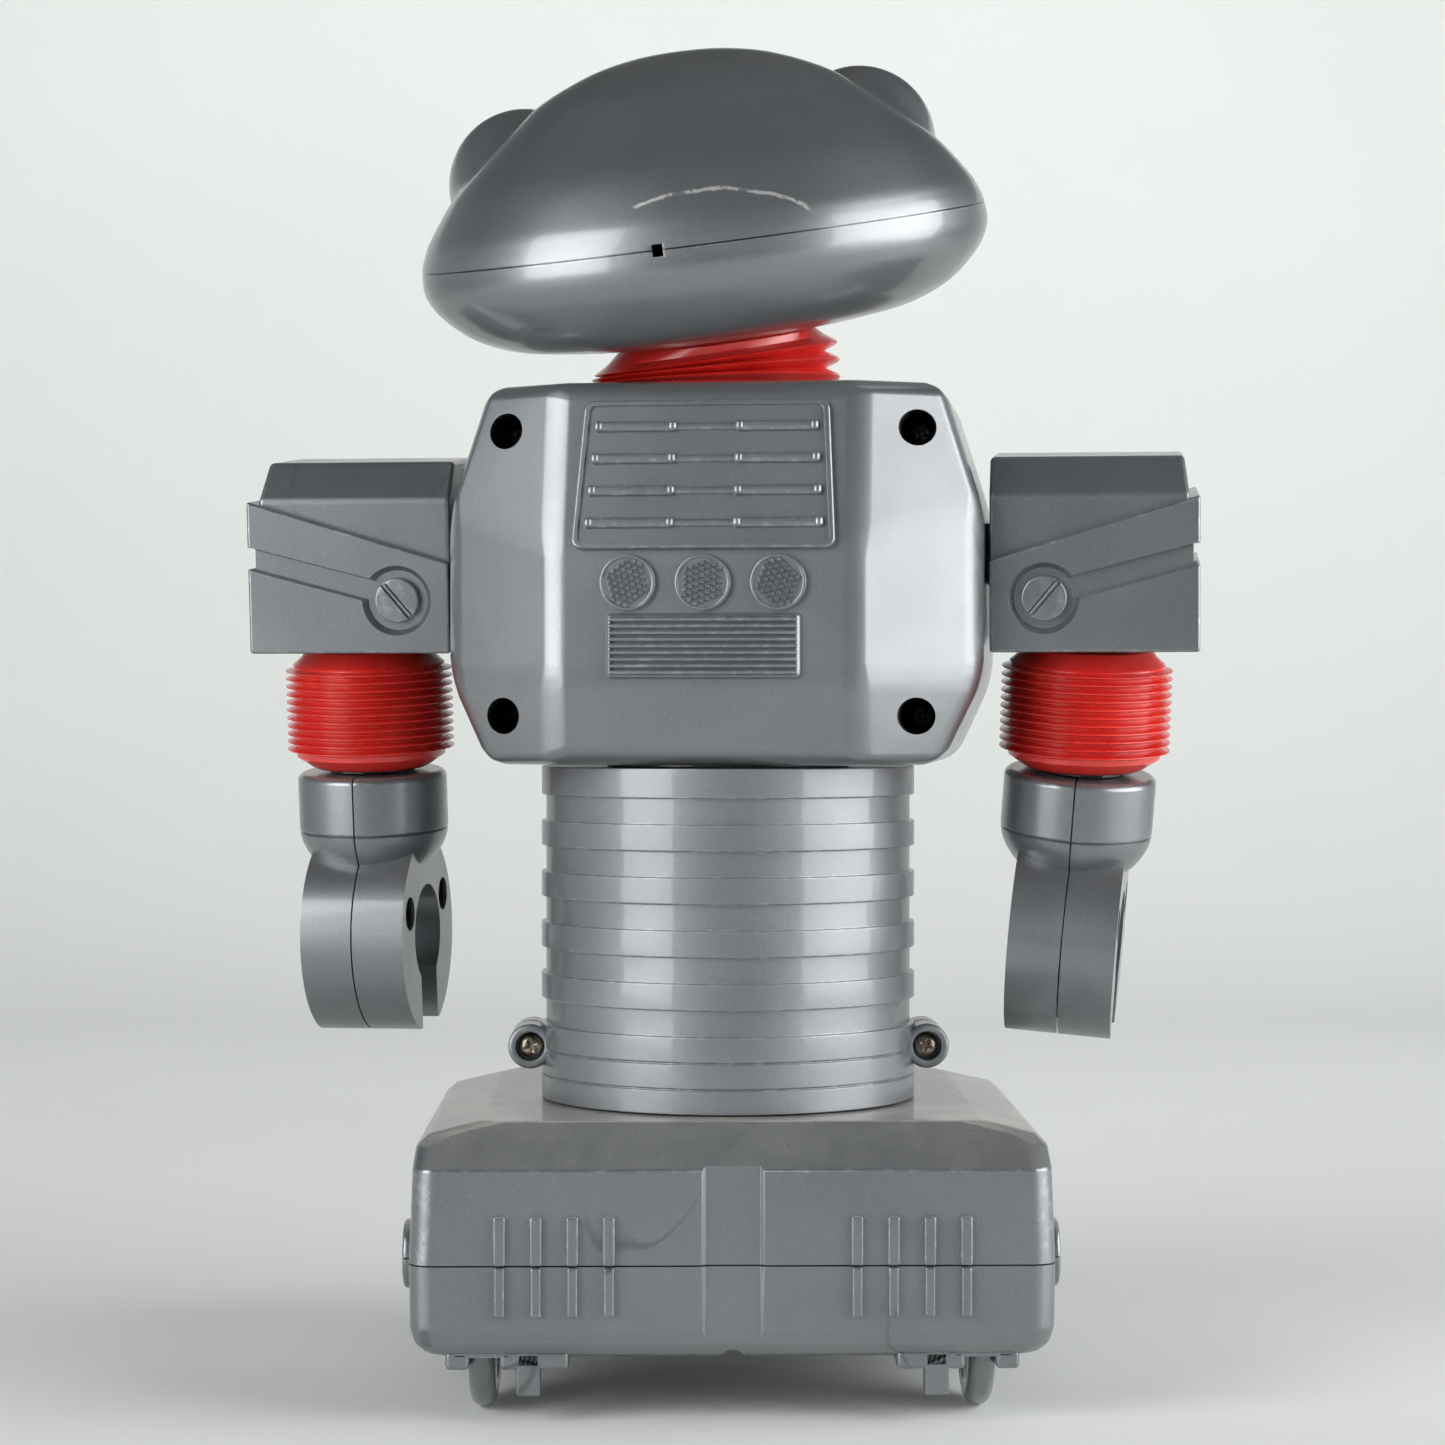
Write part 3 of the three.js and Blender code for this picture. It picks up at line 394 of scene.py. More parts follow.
# ------------------------------------------------------------------ materials
class Nodes:
    """Small helper that adds nodes to a material and links them."""

    def __init__(self, name):
        self.material = bpy.data.materials.new(name)
        self.material.use_nodes = True
        self.tree = self.material.node_tree
        self.shader = self.tree.nodes["Principled BSDF"]
        self.coords = self.tree.nodes.new("ShaderNodeTexCoord")

    def set(self, **values):
        for key, value in values.items():
            self.shader.inputs[key.replace("_", " ")].default_value = value

    def link(self, out, target):
        self.tree.links.new(out, target)

    def noise(self, scale, detail=3.0, roughness=0.5, distortion=0.0, stretch=(1, 1, 1), shift=0.0):
        mapping = self.tree.nodes.new("ShaderNodeMapping")
        mapping.inputs["Scale"].default_value = stretch
        mapping.inputs["Location"].default_value = (shift, shift * 0.7, -shift)
        self.link(self.coords.outputs["Object"], mapping.inputs["Vector"])
        node = self.tree.nodes.new("ShaderNodeTexNoise")
        node.inputs["Scale"].default_value = scale
        node.inputs["Detail"].default_value = detail
        node.inputs["Roughness"].default_value = roughness
        node.inputs["Distortion"].default_value = distortion
        self.link(mapping.outputs["Vector"], node.inputs["Vector"])
        return node.outputs["Fac"]

    def ramp(self, source, *stops):
        node = self.tree.nodes.new("ShaderNodeMapRange")
        node.interpolation_type = "SMOOTHSTEP"
        self.link(source, node.inputs["Value"])
        for key, value in zip(("From Min", "From Max", "To Min", "To Max"), stops):
            node.inputs[key].default_value = value
        return node.outputs["Result"]

    def math(self, operation, first, second=0.0):
        node = self.tree.nodes.new("ShaderNodeMath")
        node.operation = operation
        for socket, value in zip(node.inputs, (first, second)):
            if isinstance(value, (int, float)):
                socket.default_value = value
            else:
                self.link(value, socket)
        return node.outputs["Value"]

    def mix(self, factor, first, second):
        node = self.tree.nodes.new("ShaderNodeMix")
        node.data_type = "RGBA"
        sockets = [s for s in node.inputs if s.type == "RGBA"]
        self.link(factor, node.inputs[0])
        for socket, value in zip(sockets, (first, second)):
            if isinstance(value, tuple):
                socket.default_value = (*value, 1.0)
            else:
                self.link(value, socket)
        return next(s for s in node.outputs if s.type == "RGBA")

    def edge_wear_and_highlight(self):
        node = self.tree.nodes.new("ShaderNodeAttribute")
        node.attribute_name = "edge_wear_and_highlight"
        return node.outputs["Fac"]

    def colour(self, out):
        self.link(out, self.shader.inputs["Base Color"])

    def roughness(self, out):
        self.link(out, self.shader.inputs["Roughness"])

    def two_tones(self, scale, detail, roughness, low, high, first, second):
        """Mixes two colours by a noise."""
        share = self.ramp(self.noise(scale, detail, roughness), low, high, 0.0, 1.0)
        return self.mix(share, first, second)

    def upward(self):
        split = self.tree.nodes.new("ShaderNodeSeparateXYZ")
        self.link(self.coords.outputs["Normal"], split.inputs[0])
        return split.outputs["Z"]

    def bump(self, height, strength, distance):
        node = self.tree.nodes.new("ShaderNodeBump")
        node.inputs["Strength"].default_value = strength
        node.inputs["Distance"].default_value = distance
        self.link(height, node.inputs["Height"])
        self.link(node.outputs["Normal"], self.shader.inputs["Normal"])


def silver_plastic(name, dust=0.5, tone=1.0, scuffs=False, matt=0.0):
    """Silver-grey moulded plastic: fine metal flake, dark flow lines, edges lighter from wear and a painted
    highlight, dust on top.
    """
    n = Nodes(name)
    base = tuple(tone * c for c in (0.205, 0.218, 0.230))
    dark = tuple(tone * c for c in (0.180, 0.192, 0.204))
    pale = tuple(min(1.0, tone * c) for c in (0.30, 0.31, 0.32))
    colour = n.mix(n.ramp(n.noise(22, 3, 0.5, 0.8), 0.35, 0.7, 0.0, 1.0), dark, base)
    flake = n.ramp(n.noise(3000, 2, 0.7), 0.45, 0.72, 0.0, 1.0)
    colour = n.mix(n.math("MULTIPLY", flake, 0.35), colour, pale)
    swirl = n.noise(11, 2.0, 0.45, 1.6, (1.0, 1.0, 0.7), 3.1)
    line = n.ramp(n.math("ABSOLUTE", n.math("SUBTRACT", swirl, 0.5)), 0.0, 0.006, 1.0, 0.0)
    where = n.ramp(n.noise(8, 2, 0.5, 0.0, (1, 1, 1), 7.7), 0.52, 0.62, 0.0, 1.0)
    streak = n.math("MULTIPLY", n.math("MULTIPLY", line, where), 0.6)
    colour = n.mix(streak, colour, tuple(0.4 * c for c in dark))
    # Lighter edges: partly rubbed wear, partly a painted highlight along the rounded edges.
    worn_and_highlit = n.math("MULTIPLY", n.edge_wear_and_highlight(), n.ramp(n.noise(420, 3, 0.6), 0.45, 0.75, 0.0, 0.5))
    colour = n.mix(worn_and_highlit, colour, tuple(min(1.0, 1.3 * c) for c in pale))
    facing_up = n.ramp(n.upward(), 0.6, 0.97, 0.0, 1.0)
    settled = n.math("MULTIPLY", facing_up, n.ramp(n.noise(70, 5, 0.65), 0.3, 0.65, 0.45, 1.0))
    settled = n.math("MULTIPLY", settled, dust)
    colour = n.mix(settled, colour, (0.37, 0.365, 0.335))
    grit = n.ramp(n.noise(1100, 2, 0.8, 0.0, (1, 1, 1), 5.0), 0.62, 0.68, 0.0, 0.85)
    colour = n.mix(n.math("MULTIPLY", grit, settled), colour, (0.045, 0.04, 0.035))
    if scuffs:
        colour = n.mix(head_scuffs(n), colour, (0.80, 0.80, 0.78))
    n.colour(colour)
    rough = n.ramp(n.noise(60, 4, 0.6, 0.3), 0.3, 0.7, 0.33 + matt, 0.38 + matt)
    rough = n.math("ADD", rough, n.math("MULTIPLY", settled, 0.3))
    rough = n.math("ADD", rough, n.math("MULTIPLY", flake, 0.04))
    n.roughness(rough)
    n.link(n.math("SUBTRACT", 0.68, n.math("MULTIPLY", settled, 0.6)), n.shader.inputs["Metallic"])
    n.set(Coat_Weight=0.55, Coat_Roughness=0.09, Specular_IOR_Level=0.5)
    height = n.math("ADD", n.noise(150, 2, 0.5), n.math("MULTIPLY", flake, 0.10))
    n.bump(height, 0.05, 0.0002)
    return n.material


SCUFF_CENTRE = HEAD @ (Vector((1.5, 44.0, -30.5)) * MM)


def head_scuffs(n):
    """Broken pale scratch that arches over the back of the dome."""
    offset = n.tree.nodes.new("ShaderNodeVectorMath")
    offset.operation = "SUBTRACT"
    offset.inputs[1].default_value = SCUFF_CENTRE
    n.link(n.coords.outputs["Object"], offset.inputs[0])
    split = n.tree.nodes.new("ShaderNodeSeparateXYZ")
    n.link(offset.outputs["Vector"], split.inputs[0])
    x, y, z = split.outputs
    reach = n.math("SQRT", n.math("ADD", n.math("MULTIPLY", x, x), n.math("MULTIPLY", z, z)))
    wobble = n.math("MULTIPLY", n.math("SUBTRACT", n.noise(160, 4, 0.7), 0.5), 0.0022)
    gap = n.math("ABSOLUTE", n.math("SUBTRACT", n.math("ADD", reach, wobble), 0.040))
    band = n.ramp(gap, 0.00012, 0.00055, 1.0, 0.0)
    broken = n.ramp(n.noise(330, 3, 0.7, 0.0, (1, 1, 1), 2.2), 0.38, 0.50, 0.1, 0.9)
    short = n.ramp(n.math("ABSOLUTE", x), 0.0150, 0.0175, 1.0, 0.0)
    behind = n.math("GREATER_THAN", y, -0.03)
    return n.math("MULTIPLY", n.math("MULTIPLY", band, broken), n.math("MULTIPLY", short, behind))


def red_vinyl():
    """Glossy soft red vinyl, paler on the fold ridges from rubbed wear and a painted highlight."""
    n = Nodes("red_vinyl_look")
    colour = n.two_tones(90, 4, 0.6, 0.35, 0.7, (0.60, 0.016, 0.011), (0.68, 0.026, 0.016))
    # Paler fold ridges: partly rubbed wear, partly a painted highlight on the ridge tips.
    rub_and_highlight = n.math("MULTIPLY", n.edge_wear_and_highlight(), n.ramp(n.noise(380, 3, 0.6), 0.4, 0.7, 0.0, 0.16))
    colour = n.mix(rub_and_highlight, colour, (0.80, 0.14, 0.11))
    n.colour(colour)
    n.roughness(n.ramp(n.noise(120, 4, 0.6), 0.3, 0.7, 0.26, 0.40))
    n.set(Subsurface_Weight=0.06, Subsurface_Scale=0.0015, Specular_IOR_Level=0.6)
    n.set(Coat_Weight=0.6, Coat_Roughness=0.22)
    n.bump(n.noise(500, 2, 0.5), 0.03, 0.0001)
    return n.material


def metal(name, bright, dark, grain=400, roughness=(0.28, 0.5), stretch=(1, 1, 1)):
    """Plated or aged metal with a brushed grain and dull spots."""
    n = Nodes(name)
    spots = n.ramp(n.noise(grain, 5, 0.65, 0.4, stretch), 0.38, 0.68, 0.0, 1.0)
    n.colour(n.mix(spots, dark, bright))
    n.roughness(n.ramp(n.noise(grain * 2, 4, 0.6, 0.0, stretch), 0.3, 0.7, *roughness))
    n.set(Metallic=1.0)
    n.bump(n.noise(grain * 4, 2, 0.5, 0.0, stretch), 0.12, 0.0001)
    return n.material


def plain_plastic(name, first, second, roughness=(0.4, 0.6)):
    """Moulded plastic with slight colour and gloss changes and a fine eroded texture."""
    n = Nodes(name)
    n.colour(n.two_tones(70, 5, 0.6, 0.35, 0.7, first, second))
    n.roughness(n.ramp(n.noise(200, 4, 0.6), 0.3, 0.7, *roughness))
    n.bump(n.noise(1500, 3, 0.6), 0.12, 0.0001)
    return n.material


def lens_plastic():
    """Clear tinted lens over a darker core."""
    n = Nodes("lens_look")
    n.colour(n.two_tones(45, 3, 0.5, 0.35, 0.65, (0.42, 0.020, 0.006), (0.62, 0.05, 0.012)))
    n.roughness(n.ramp(n.noise(260, 4, 0.6), 0.3, 0.75, 0.06, 0.16))
    n.set(Transmission_Weight=0.35, IOR=1.49, Coat_Weight=0.6, Coat_Roughness=0.05)
    n.bump(n.noise(350, 2, 0.5), 0.03, 0.0001)
    return n.material


SILVER = silver_plastic("silver_plastic_look", dust=0.25)
SILVER_DECK = silver_plastic("silver_plastic_dusty_look", dust=1.0)
SILVER_HEAD = silver_plastic("silver_plastic_head_look", dust=0.12, scuffs=True)
SILVER_COLUMN = silver_plastic("silver_plastic_column_look", dust=0.25, tone=1.05, matt=0.14)
# Near-black painted shade for the walls of deep wells and holes, standing in for the shadow inside them.
WELL_PAINTED_SHADE = plain_plastic("well_painted_shade_look", (0.004, 0.004, 0.005), (0.010, 0.010, 0.011), (0.7, 0.9))
RED = red_vinyl()
STEEL = metal("steel_look", (0.55, 0.53, 0.50), (0.28, 0.26, 0.24))
DULL_STEEL = metal("dull_steel_look", (0.30, 0.29, 0.27), (0.12, 0.11, 0.10), 500, (0.35, 0.6))
BRASS = metal("aged_screw_look", (0.52, 0.47, 0.38), (0.20, 0.17, 0.13), 700)
NYLON = plain_plastic("nylon_look", (0.70, 0.69, 0.65), (0.80, 0.79, 0.75))
BLACK = plain_plastic("black_plastic_look", (0.012, 0.012, 0.013), (0.028, 0.028, 0.030), (0.32, 0.5))
LENS = lens_plastic()
SLOT_LOOKS = {
    "silver_plastic": SILVER, "red_vinyl": RED, "bare_steel": STEEL, "screw_brass": BRASS,
    "gear_white": NYLON, "inner_black": BLACK, "lens_amber": LENS,
}


def dress_kept_nodes():
    """Gives every CAD node the finish of its record slot, whether or not it is replaced later."""
    for entry in frame["record"]["subparts"]:
        node = frame["nodes"][entry["node"]]
        node.data.materials.clear()
        node.data.materials.append(SLOT_LOOKS[entry["material_slot"]])


# ------------------------------------------------------------------ base
def base_outline(z, half, back, front):
    points = []
    for side in (1, -1):
        for step in range(7):
            angle = step * math.pi / 12
            x = half - CORNER + CORNER * math.cos(angle)
            points.append((side * x, back - CORNER + CORNER * math.sin(angle), z))
        points.append((side * half, front + CHAMFER[1], z))
        points.append((side * (half - CHAMFER[0]), front, z))
    return points


def base_hull(levels, inset=0.0):
    points = []
    for z, half, back, front in levels:
        points += base_outline(z, half - inset, back - inset, front + inset)
    return hull(points)


def side_boss(side, low, high):
    face = BASE_HALF + 1.7
    profile = rounded_profile([(0, 57), (6.5, 57), (6.5, face), (0, face)], 0.9, 4)
    boss = revolve(profile, 64, "x", (0, 35, PARTING))
    if side < 0:
        mirrored(boss, "x")
    return keep(boss, z=(low, high))


def back_bars(low, high, half):
    """Eight upright bars on the back, given their ends and half their width."""
    bars = []
    for x in [side * bar for side in (1, -1) for bar in BAR_XS]:
        bars.append(block((x - half, x + half), (BASE_BACK - 1.5, BASE_BACK + 1.2), (low, high), 0.45, 3))
    return bars


def channel():
    """Vertical channel in the middle of the back, with sloping walls."""
    points = []
    outline = ((CHANNEL_HALF - 0.3, BASE_BACK - 0.75), (CHANNEL_HALF + 0.3, BASE_BACK), (12.0, BASE_BACK + 6))
    for half, y in outline:
        for side in (1, -1):
            points += [(side * half, y, 5), (side * half, y, 60)]
    return hull(points)


def soften_channel(bm):
    """Rounds the long shoulders of the channel so that they catch the light."""
    edges = []
    for edge in bm.edges:
        a, b = edge.verts
        near = all(CHANNEL_HALF - 0.6 < abs(v.co.x) < CHANNEL_HALF + 0.8 and v.co.y > 40 for v in (a, b))
        if near and abs(a.co.z - b.co.z) > 1.5 and edge.calc_face_angle(0.0) > 0.3:
            edges.append(edge)
    bmesh.ops.bevel(
        bm, geom=edges, offset=0.42, segments=3, profile=0.5, affect="EDGES", clamp_overlap=True,
    )


def upper_casing():
    low = PARTING + GAP / 2
    levels = [
        (low, BASE_HALF, BASE_BACK, BASE_FRONT),
        (47.8, 59.6, BASE_BACK, -74.6),
        (51.6, 59.2, 46.9, -70.9),
        (53.6, 57.0, 44.9, -69.0),
        (DECK, 47.0, 42.5, -67.0),
    ]
    shell = base_hull(levels)
    round_edges(shell, 0.9, 3, 12, 80)
    hollow = base_hull([(z - (8 if i == 0 else WALL), *rest) for i, (z, *rest) in enumerate(levels)], WALL)
    cut(shell, channel())
    soften_channel(shell)
    cut(shell, hollow)
    round_edges(shell, 0.28, 2, 60)
    parts = [shell, side_boss(1, low, 60), side_boss(-1, low, 60)]
    parts += back_bars(low, 39.3, 1.15)
    silver_piece("base_upper_casing_shell", merged(*parts), BASE, "base", "base_upper_casing", SILVER_DECK)


def wheel_box(side, y):
    """Two rails under the base and the closed box of the wheel well inside it."""
    outer = sorted((side * 49.0, side * 53.5))
    inner = sorted((side * 30.5, side * 43.4))
    width = sorted((side * 41.4, side * 52.1))
    rails = [block(x, (y - 20.3, y + 20.3), (10.3, 14.0), 0.9, 3) for x in (outer, inner)]
    box = block(width, (y - 20.3, y + 20.3), (12.6, 38.5), 0.3, 2)
    return rails, box


def wheel_slot(side, y):
    width = sorted((side * 43.4, side * 50.0))
    slot = block(width, (y - 18.8, y + 18.8), (0, 37.2), 1.0, 3)
    return [slot, disc("x", 2.0, side * 40, side * 51.4, (y, WHEEL_RADIUS), 24)]


REAR_AXLE_Y = (JOINTS["rear_wheels_roll"]["pos_m"][1] - COLUMN_Y) / MM
FRONT_AXLE_Y = (JOINTS["front_wheels_roll"]["pos_m"][1] - COLUMN_Y) / MM


def tray():
    high = PARTING - GAP / 2
    levels = [
        (high, BASE_HALF, BASE_BACK, BASE_FRONT),
        (18.0, 60.1, 50.8, -74.8),
        (15.2, 59.3, 50.0, -74.0),
        (13.3, 57.6, 48.3, -72.3),
        (BASE_BOTTOM, 55.2, 46.0, -70.0),
    ]
    shell = base_hull(levels)
    round_edges(shell, 0.8, 3, 12, 80)
    hollow = base_hull([(z + (8 if i == 0 else WALL), *rest) for i, (z, *rest) in enumerate(levels)], WALL)
    cut(shell, channel())
    soften_channel(shell)
    cut(shell, hollow)
    boolean(shell, block((-30, 30), (-46, 8), (BASE_BOTTOM, 15.8)), "UNION")
    wells = []
    for side in (1, -1):
        for y in (REAR_AXLE_Y, FRONT_AXLE_Y):
            rails, box = wheel_box(side, y)
            for tool in wheel_slot(side, y):
                boolean(box, tool)
                boolean(shell, tool)
            round_edges(box, 0.2, 2, 50)
            wells += [box, *rails]
    cut(shell, block((-26, 26), (-42.3, 4), (0, 14.2)))
    cut(shell, block((-24, 24), (-34, 2), (0, 28.8)))
    cut(shell, disc("y", 2.1, 40, 60, (0, BASE_BOTTOM - 0.3), 32))
    cut(shell, block((-4.4, 4.4), (-63.5, -54.5), (0, 16)))
    for x, y in TRAY_SCREWS:
        cut(shell, disc("z", 3.0, 5, 16, (x, y), 32))
    round_edges(shell, 0.25, 2, 60)
    parts = [shell, *wells, side_boss(1, 0, high), side_boss(-1, 0, high)]
    parts += back_bars(20.7, high, 1.0)
    for side in (1, -1):
        parts.append(block((side * 38 - 2.25, side * 38 + 2.25), (43.5, 48.3), (5.5, 15.0), 0.5, 2))
    walls = block((-26.2, 26.2), (-36.2, 4.2), (14.0, 31.0))
    parts.append(cut(walls, block((-24, 24), (-34, 2), (0, 28.8))))
    for x, y in TRAY_SCREWS:
        ring = [(1.7, 14.5), (5, 14.5), (5, 16.5), (1.7, 16.5)]
        parts.append(revolve(ring, 32, "z", (x, y, 0)))
    silver_piece("base_tray_shell", merged(*parts), BASE, "base", "base_tray")


def wheel(name, side, y, body):
    half = 2.5
    profile = rounded_profile([
        (1.8, -half), (4.8, -half), (5.6, -half + 0.8), (13.4, -half + 0.8), (14.4, -half),
        (16.6, -half), (18.0, -1.2), (18.0, 1.2), (16.6, half), (14.4, half),
        (13.4, half - 0.8), (5.6, half - 0.8), (4.8, half), (1.8, half),
    ], 0.9, 4)
    made = revolve(profile, 96, "x", (side * WHEEL_X, y, WHEEL_RADIUS))
    silver_piece(name + "_rim", made, BASE, body, name)


def build_base():
    upper_casing()
    tray()
    for i, centre in enumerate(TRAY_SCREWS):
        screw(f"tray_screw_{i + 1}", BASE, "base", ("z", -1), centre, 13.9, 24, 2.5, 15 + 55 * i)
    for end, y in (("rear", REAR_AXLE_Y), ("front", FRONT_AXLE_Y)):
        for word, side in SIDES:
            wheel(f"{end}_wheel_{word}", side, y, f"{end}_wheels")


# ------------------------------------------------------------------ column
def column_profile():
    """Closed outline of the tube's wall: stepped bands outside, smooth inside."""
    outer = [(COLUMN_RADIUS, DECK + GAP)]
    for z in (61.0, 66.0):
        outer += [(COLUMN_RADIUS, z - 0.22), (COLUMN_RADIUS - 0.35, z - 0.12)]
        outer += [(COLUMN_RADIUS - 0.35, z + 0.12), (COLUMN_RADIUS, z + 0.22)]
    outer.append((COLUMN_RADIUS, BAND_START))
    for i in range(BANDS):
        radius = COLUMN_RECESS if i % 2 == 0 else COLUMN_RADIUS
        outer.append((radius, BAND_START + i * BAND_PITCH))
        outer.append((radius, BAND_START + (i + 1) * BAND_PITCH))
    outer += [(COLUMN_RADIUS, BAND_START + BANDS * BAND_PITCH), (COLUMN_RADIUS, COLUMN_TOP)]
    outside = []
    for point in outer:
        if not outside or (Vector(point) - Vector(outside[-1])).length > 0.05:
            outside.append(point)
    rest = [(24, COLUMN_TOP), (24, 125.3), (26.5, 125.3), (26.5, 127.5), (21.8, 127.5), (21.8, 119.7),
            (34.4, 119.7), (34.4, 58.5), (27.6, 58.5), (27.6, 51), (29.8, 51), (29.8, DECK + GAP)]
    return rounded_profile(outside + rest, 0.28, 2)


def cross_screw(radius, height):
    """Domed screw head standing on z = 0, with a cross recess."""
    dome = revolve(rounded_profile(
        [(0, -1.0), (radius, -1.0), (radius, 0.35 * height), (0.55 * radius, height), (0, height)], 0.5, 4,
    ), 48)
    long, wide = 0.62 * radius, 0.13 * radius
    for x, y in ((long, wide), (wide, long)):
        cut(dome, hull([
            (sx * x * f, sy * y * f, z) for sx in (1, -1) for sy in (1, -1)
            for z, f in ((height + 0.3, 1.25), (height - 0.9, 0.5))
        ]))
    return round_edges(dome, 0.06, 1, 50)


FACING_BACK = Matrix.Rotation(-math.pi / 2, 4, "X")


def lug(side, rear):
    """Screw lug on the column's side, with a recess for the head on the rear half."""
    reach = (GAP / 2, 9.0) if rear else (-9.0, -GAP / 2)
    profile = rounded_profile([(0, reach[0]), (4.4, reach[0]), (4.4, reach[1]), (0, reach[1])], 0.8, 4)
    solid = revolve(profile, 64, "y", (side * LUG_X, 0, LUG_Z))
    if rear:
        cut(solid, disc("y", 2.85, 5.8, 14, (side * LUG_X, LUG_Z), 48))
        round_edges(solid, 0.22, 2, 60)
    return solid


def screw(name, matrix, body, direction, centre, face, shank, radius=2.6, turn=20):
    """Cross-head screw: its head looks along direction from the face plane, its shank reaches inward."""
    axis, sign = direction
    head = cross_screw(radius, 1.1)
    moved(head, Matrix.Rotation(math.radians(turn), 4, "Z"))
    aim = {"x": Matrix.Rotation(sign * math.pi / 2, 4, "Y"),
           "y": Matrix.Rotation(-sign * math.pi / 2, 4, "X"),
           "z": Matrix.Rotation(0 if sign > 0 else math.pi, 4, "X")}[axis]
    spot = {"x": (face, *centre), "y": (centre[0], face, centre[1]), "z": (*centre, face)}[axis]
    moved(head, Matrix.Translation(spot) @ aim)
    rod = disc(axis, 1.25, face - sign * 0.5, shank, centre, 24)
    made = merged(head, rod)
    piece(name + "_cross_head", made, matrix, body, "bare_steel", DULL_STEEL, [name])


def build_column():
    edge = math.asin(GAP / 2 / COLUMN_RADIUS)
    for rear, name in ((True, "column_rear_half"), (False, "column_front_half")):
        start = edge if rear else math.pi + edge
        shell = revolve(column_profile(), 112, span=(start, start + math.pi - 2 * edge))
        parts = [shell, lug(1, rear), lug(-1, rear)]
        silver_piece(name + "_shell", merged(*parts), BASE, "base", name, SILVER_COLUMN)
    for word, side, turn in (("left", 1, 20), ("right", -1, 65)):
        head = cross_screw(2.4, 1.25)
        moved(head, Matrix.Rotation(math.radians(turn), 4, "Z"))
        moved(head, Matrix.Translation((side * LUG_X, 6.9, LUG_Z)) @ FACING_BACK)
        shank = disc("y", 1.2, -6, 6.5, (side * LUG_X, LUG_Z), 24)
        name = f"column_screw_{word}"
        piece(name + "_cross_head", merged(head, shank), BASE, "base", "screw_brass", BRASS, [name])


# ------------------------------------------------------------------ torso
# Rows: height and depth of the middle facet's edge, then half width, height and depth of the side edge.
TORSO_ROWS = [
    (122.5, 37.5, 44.0, 122.5, 27.6),
    (139.4, 40.0, 52.0, 139.4, 25.8),
    (163.7, 40.0, 52.0, 171.5, 25.8),
    (196.0, 32.6, 44.2, 196.0, 24.2),
]
FACET_X = 28.7


def torso_hull(inset=0.0):
    points = []
    last = len(TORSO_ROWS) - 1
    for i, (z, middle, half, edge_z, edge) in enumerate(TORSO_ROWS):
        lift = inset if i == 0 else -inset if i == last else 0.0
        for side in (1, -1):
            for face in (1, -1):
                points.append((side * FACET_X, face * (middle - inset), z + lift))
                points.append((side * (half - inset), face * (edge - inset), edge_z + lift))
    return hull(points)


def round_torso(bm):
    """Wide roundings on the outline and narrower ones on the folds between the facets."""
    layer = bm.edges.layers.float.new("bevel_weight_edge")
    for edge in bm.edges:
        if edge.calc_face_angle(0.0) < math.radians(3):
            continue
        a, b = edge.verts[0].co, edge.verts[1].co
        outline = min(abs(a.x), abs(b.x)) > 43 or max(a.z, b.z) < 123 or min(a.z, b.z) > 195
        edge[layer] = 1.0 if outline else 0.6
    one = object_from(bm)
    modifier = one.modifiers.new("round", "BEVEL")
    modifier.limit_method = "WEIGHT"
    modifier.offset_type = "OFFSET"
    modifier.width = 4.2
    modifier.segments = 6
    apply_modifiers(bm, one)
    bmesh.ops.remove_doubles(bm, verts=list(bm.verts), dist=1e-3)
    return bm


def torso_shell():
    shell = round_torso(torso_hull())
    cut(shell, torso_hull(WALL))
    cut(shell, disc("z", 24.5, 115, 130, (0, 0), 96))
    cut(shell, disc("z", 12.0, 190, 200, (0, 1.5), 64))
    cut(shell, disc("x", SHOULDER_HOLE, -60, 60, (0, SHOULDER_Z), 48))
    return shell


PANEL_FOOT = (41.2, 163.5)
PANEL_LEAN = math.atan(0.249)
PANEL_HEIGHT = 28.5 / math.cos(PANEL_LEAN)


def panel_plate(bottom, top, rise, inset):
    """Trapezoid plate in the panel's own frame: y is out of its face, z runs up it."""
    points = []
    for half, z in ((bottom, inset), (top, PANEL_HEIGHT - inset)):
        for side in (1, -1):
            for y in (rise, -4.5):
                points.append((side * half, y, z))
    return hull(points)


def round_corners(plate, radius, segments):
    """Rounds the four corners of a panel plate."""
    upright = [e for e in plate.edges if abs(e.verts[0].co.y - e.verts[1].co.y) > 2]
    bmesh.ops.bevel(plate, geom=upright, offset=radius, segments=segments, profile=0.5, affect="EDGES")
    return plate


def ribbed_panel():
    """Leaning panel with a rim and four ribs, each of two bars with round ends and a low bridge."""
    plate = round_corners(panel_plate(25.1, 23.4, 0.4, 0.0), 2.0, 6)
    round_edges(plate, 0.45, 3, 60)
    recess = round_corners(panel_plate(24.0, 22.3, 20.0, 1.1), 1.2, 5)
    moved(recess, Matrix.Translation((0, 4.45, 0)))
    cut(plate, recess)
    round_edges(plate, 0.2, 2, 60)
    parts = [plate]
    for i in range(4):
        z = 5.0 + 6.36 * i
        outer = 22.6 - 0.42 * i
        for side in (1, -1):
            span = sorted((side * 5.8, side * outer))
            parts.append(block(span, (-1.6, 0.85), (z - 1.05, z + 1.05), 0.8, 5))
            for x in (6.4, outer - 0.7):
                span = (side * x - 0.85, side * x + 0.85)
                parts.append(block(span, (-1.6, 1.2), (z - 1.1, z + 1.1), 0.82, 6))
        parts.append(block((-6.2, 6.2), (-1.6, 0.5), (z - 0.78, z + 0.78), 0.6, 4))
    place = Matrix.Translation((0, *PANEL_FOOT)) @ Matrix.Rotation(PANEL_LEAN, 4, "X")
    return [moved(part, place) for part in parts]


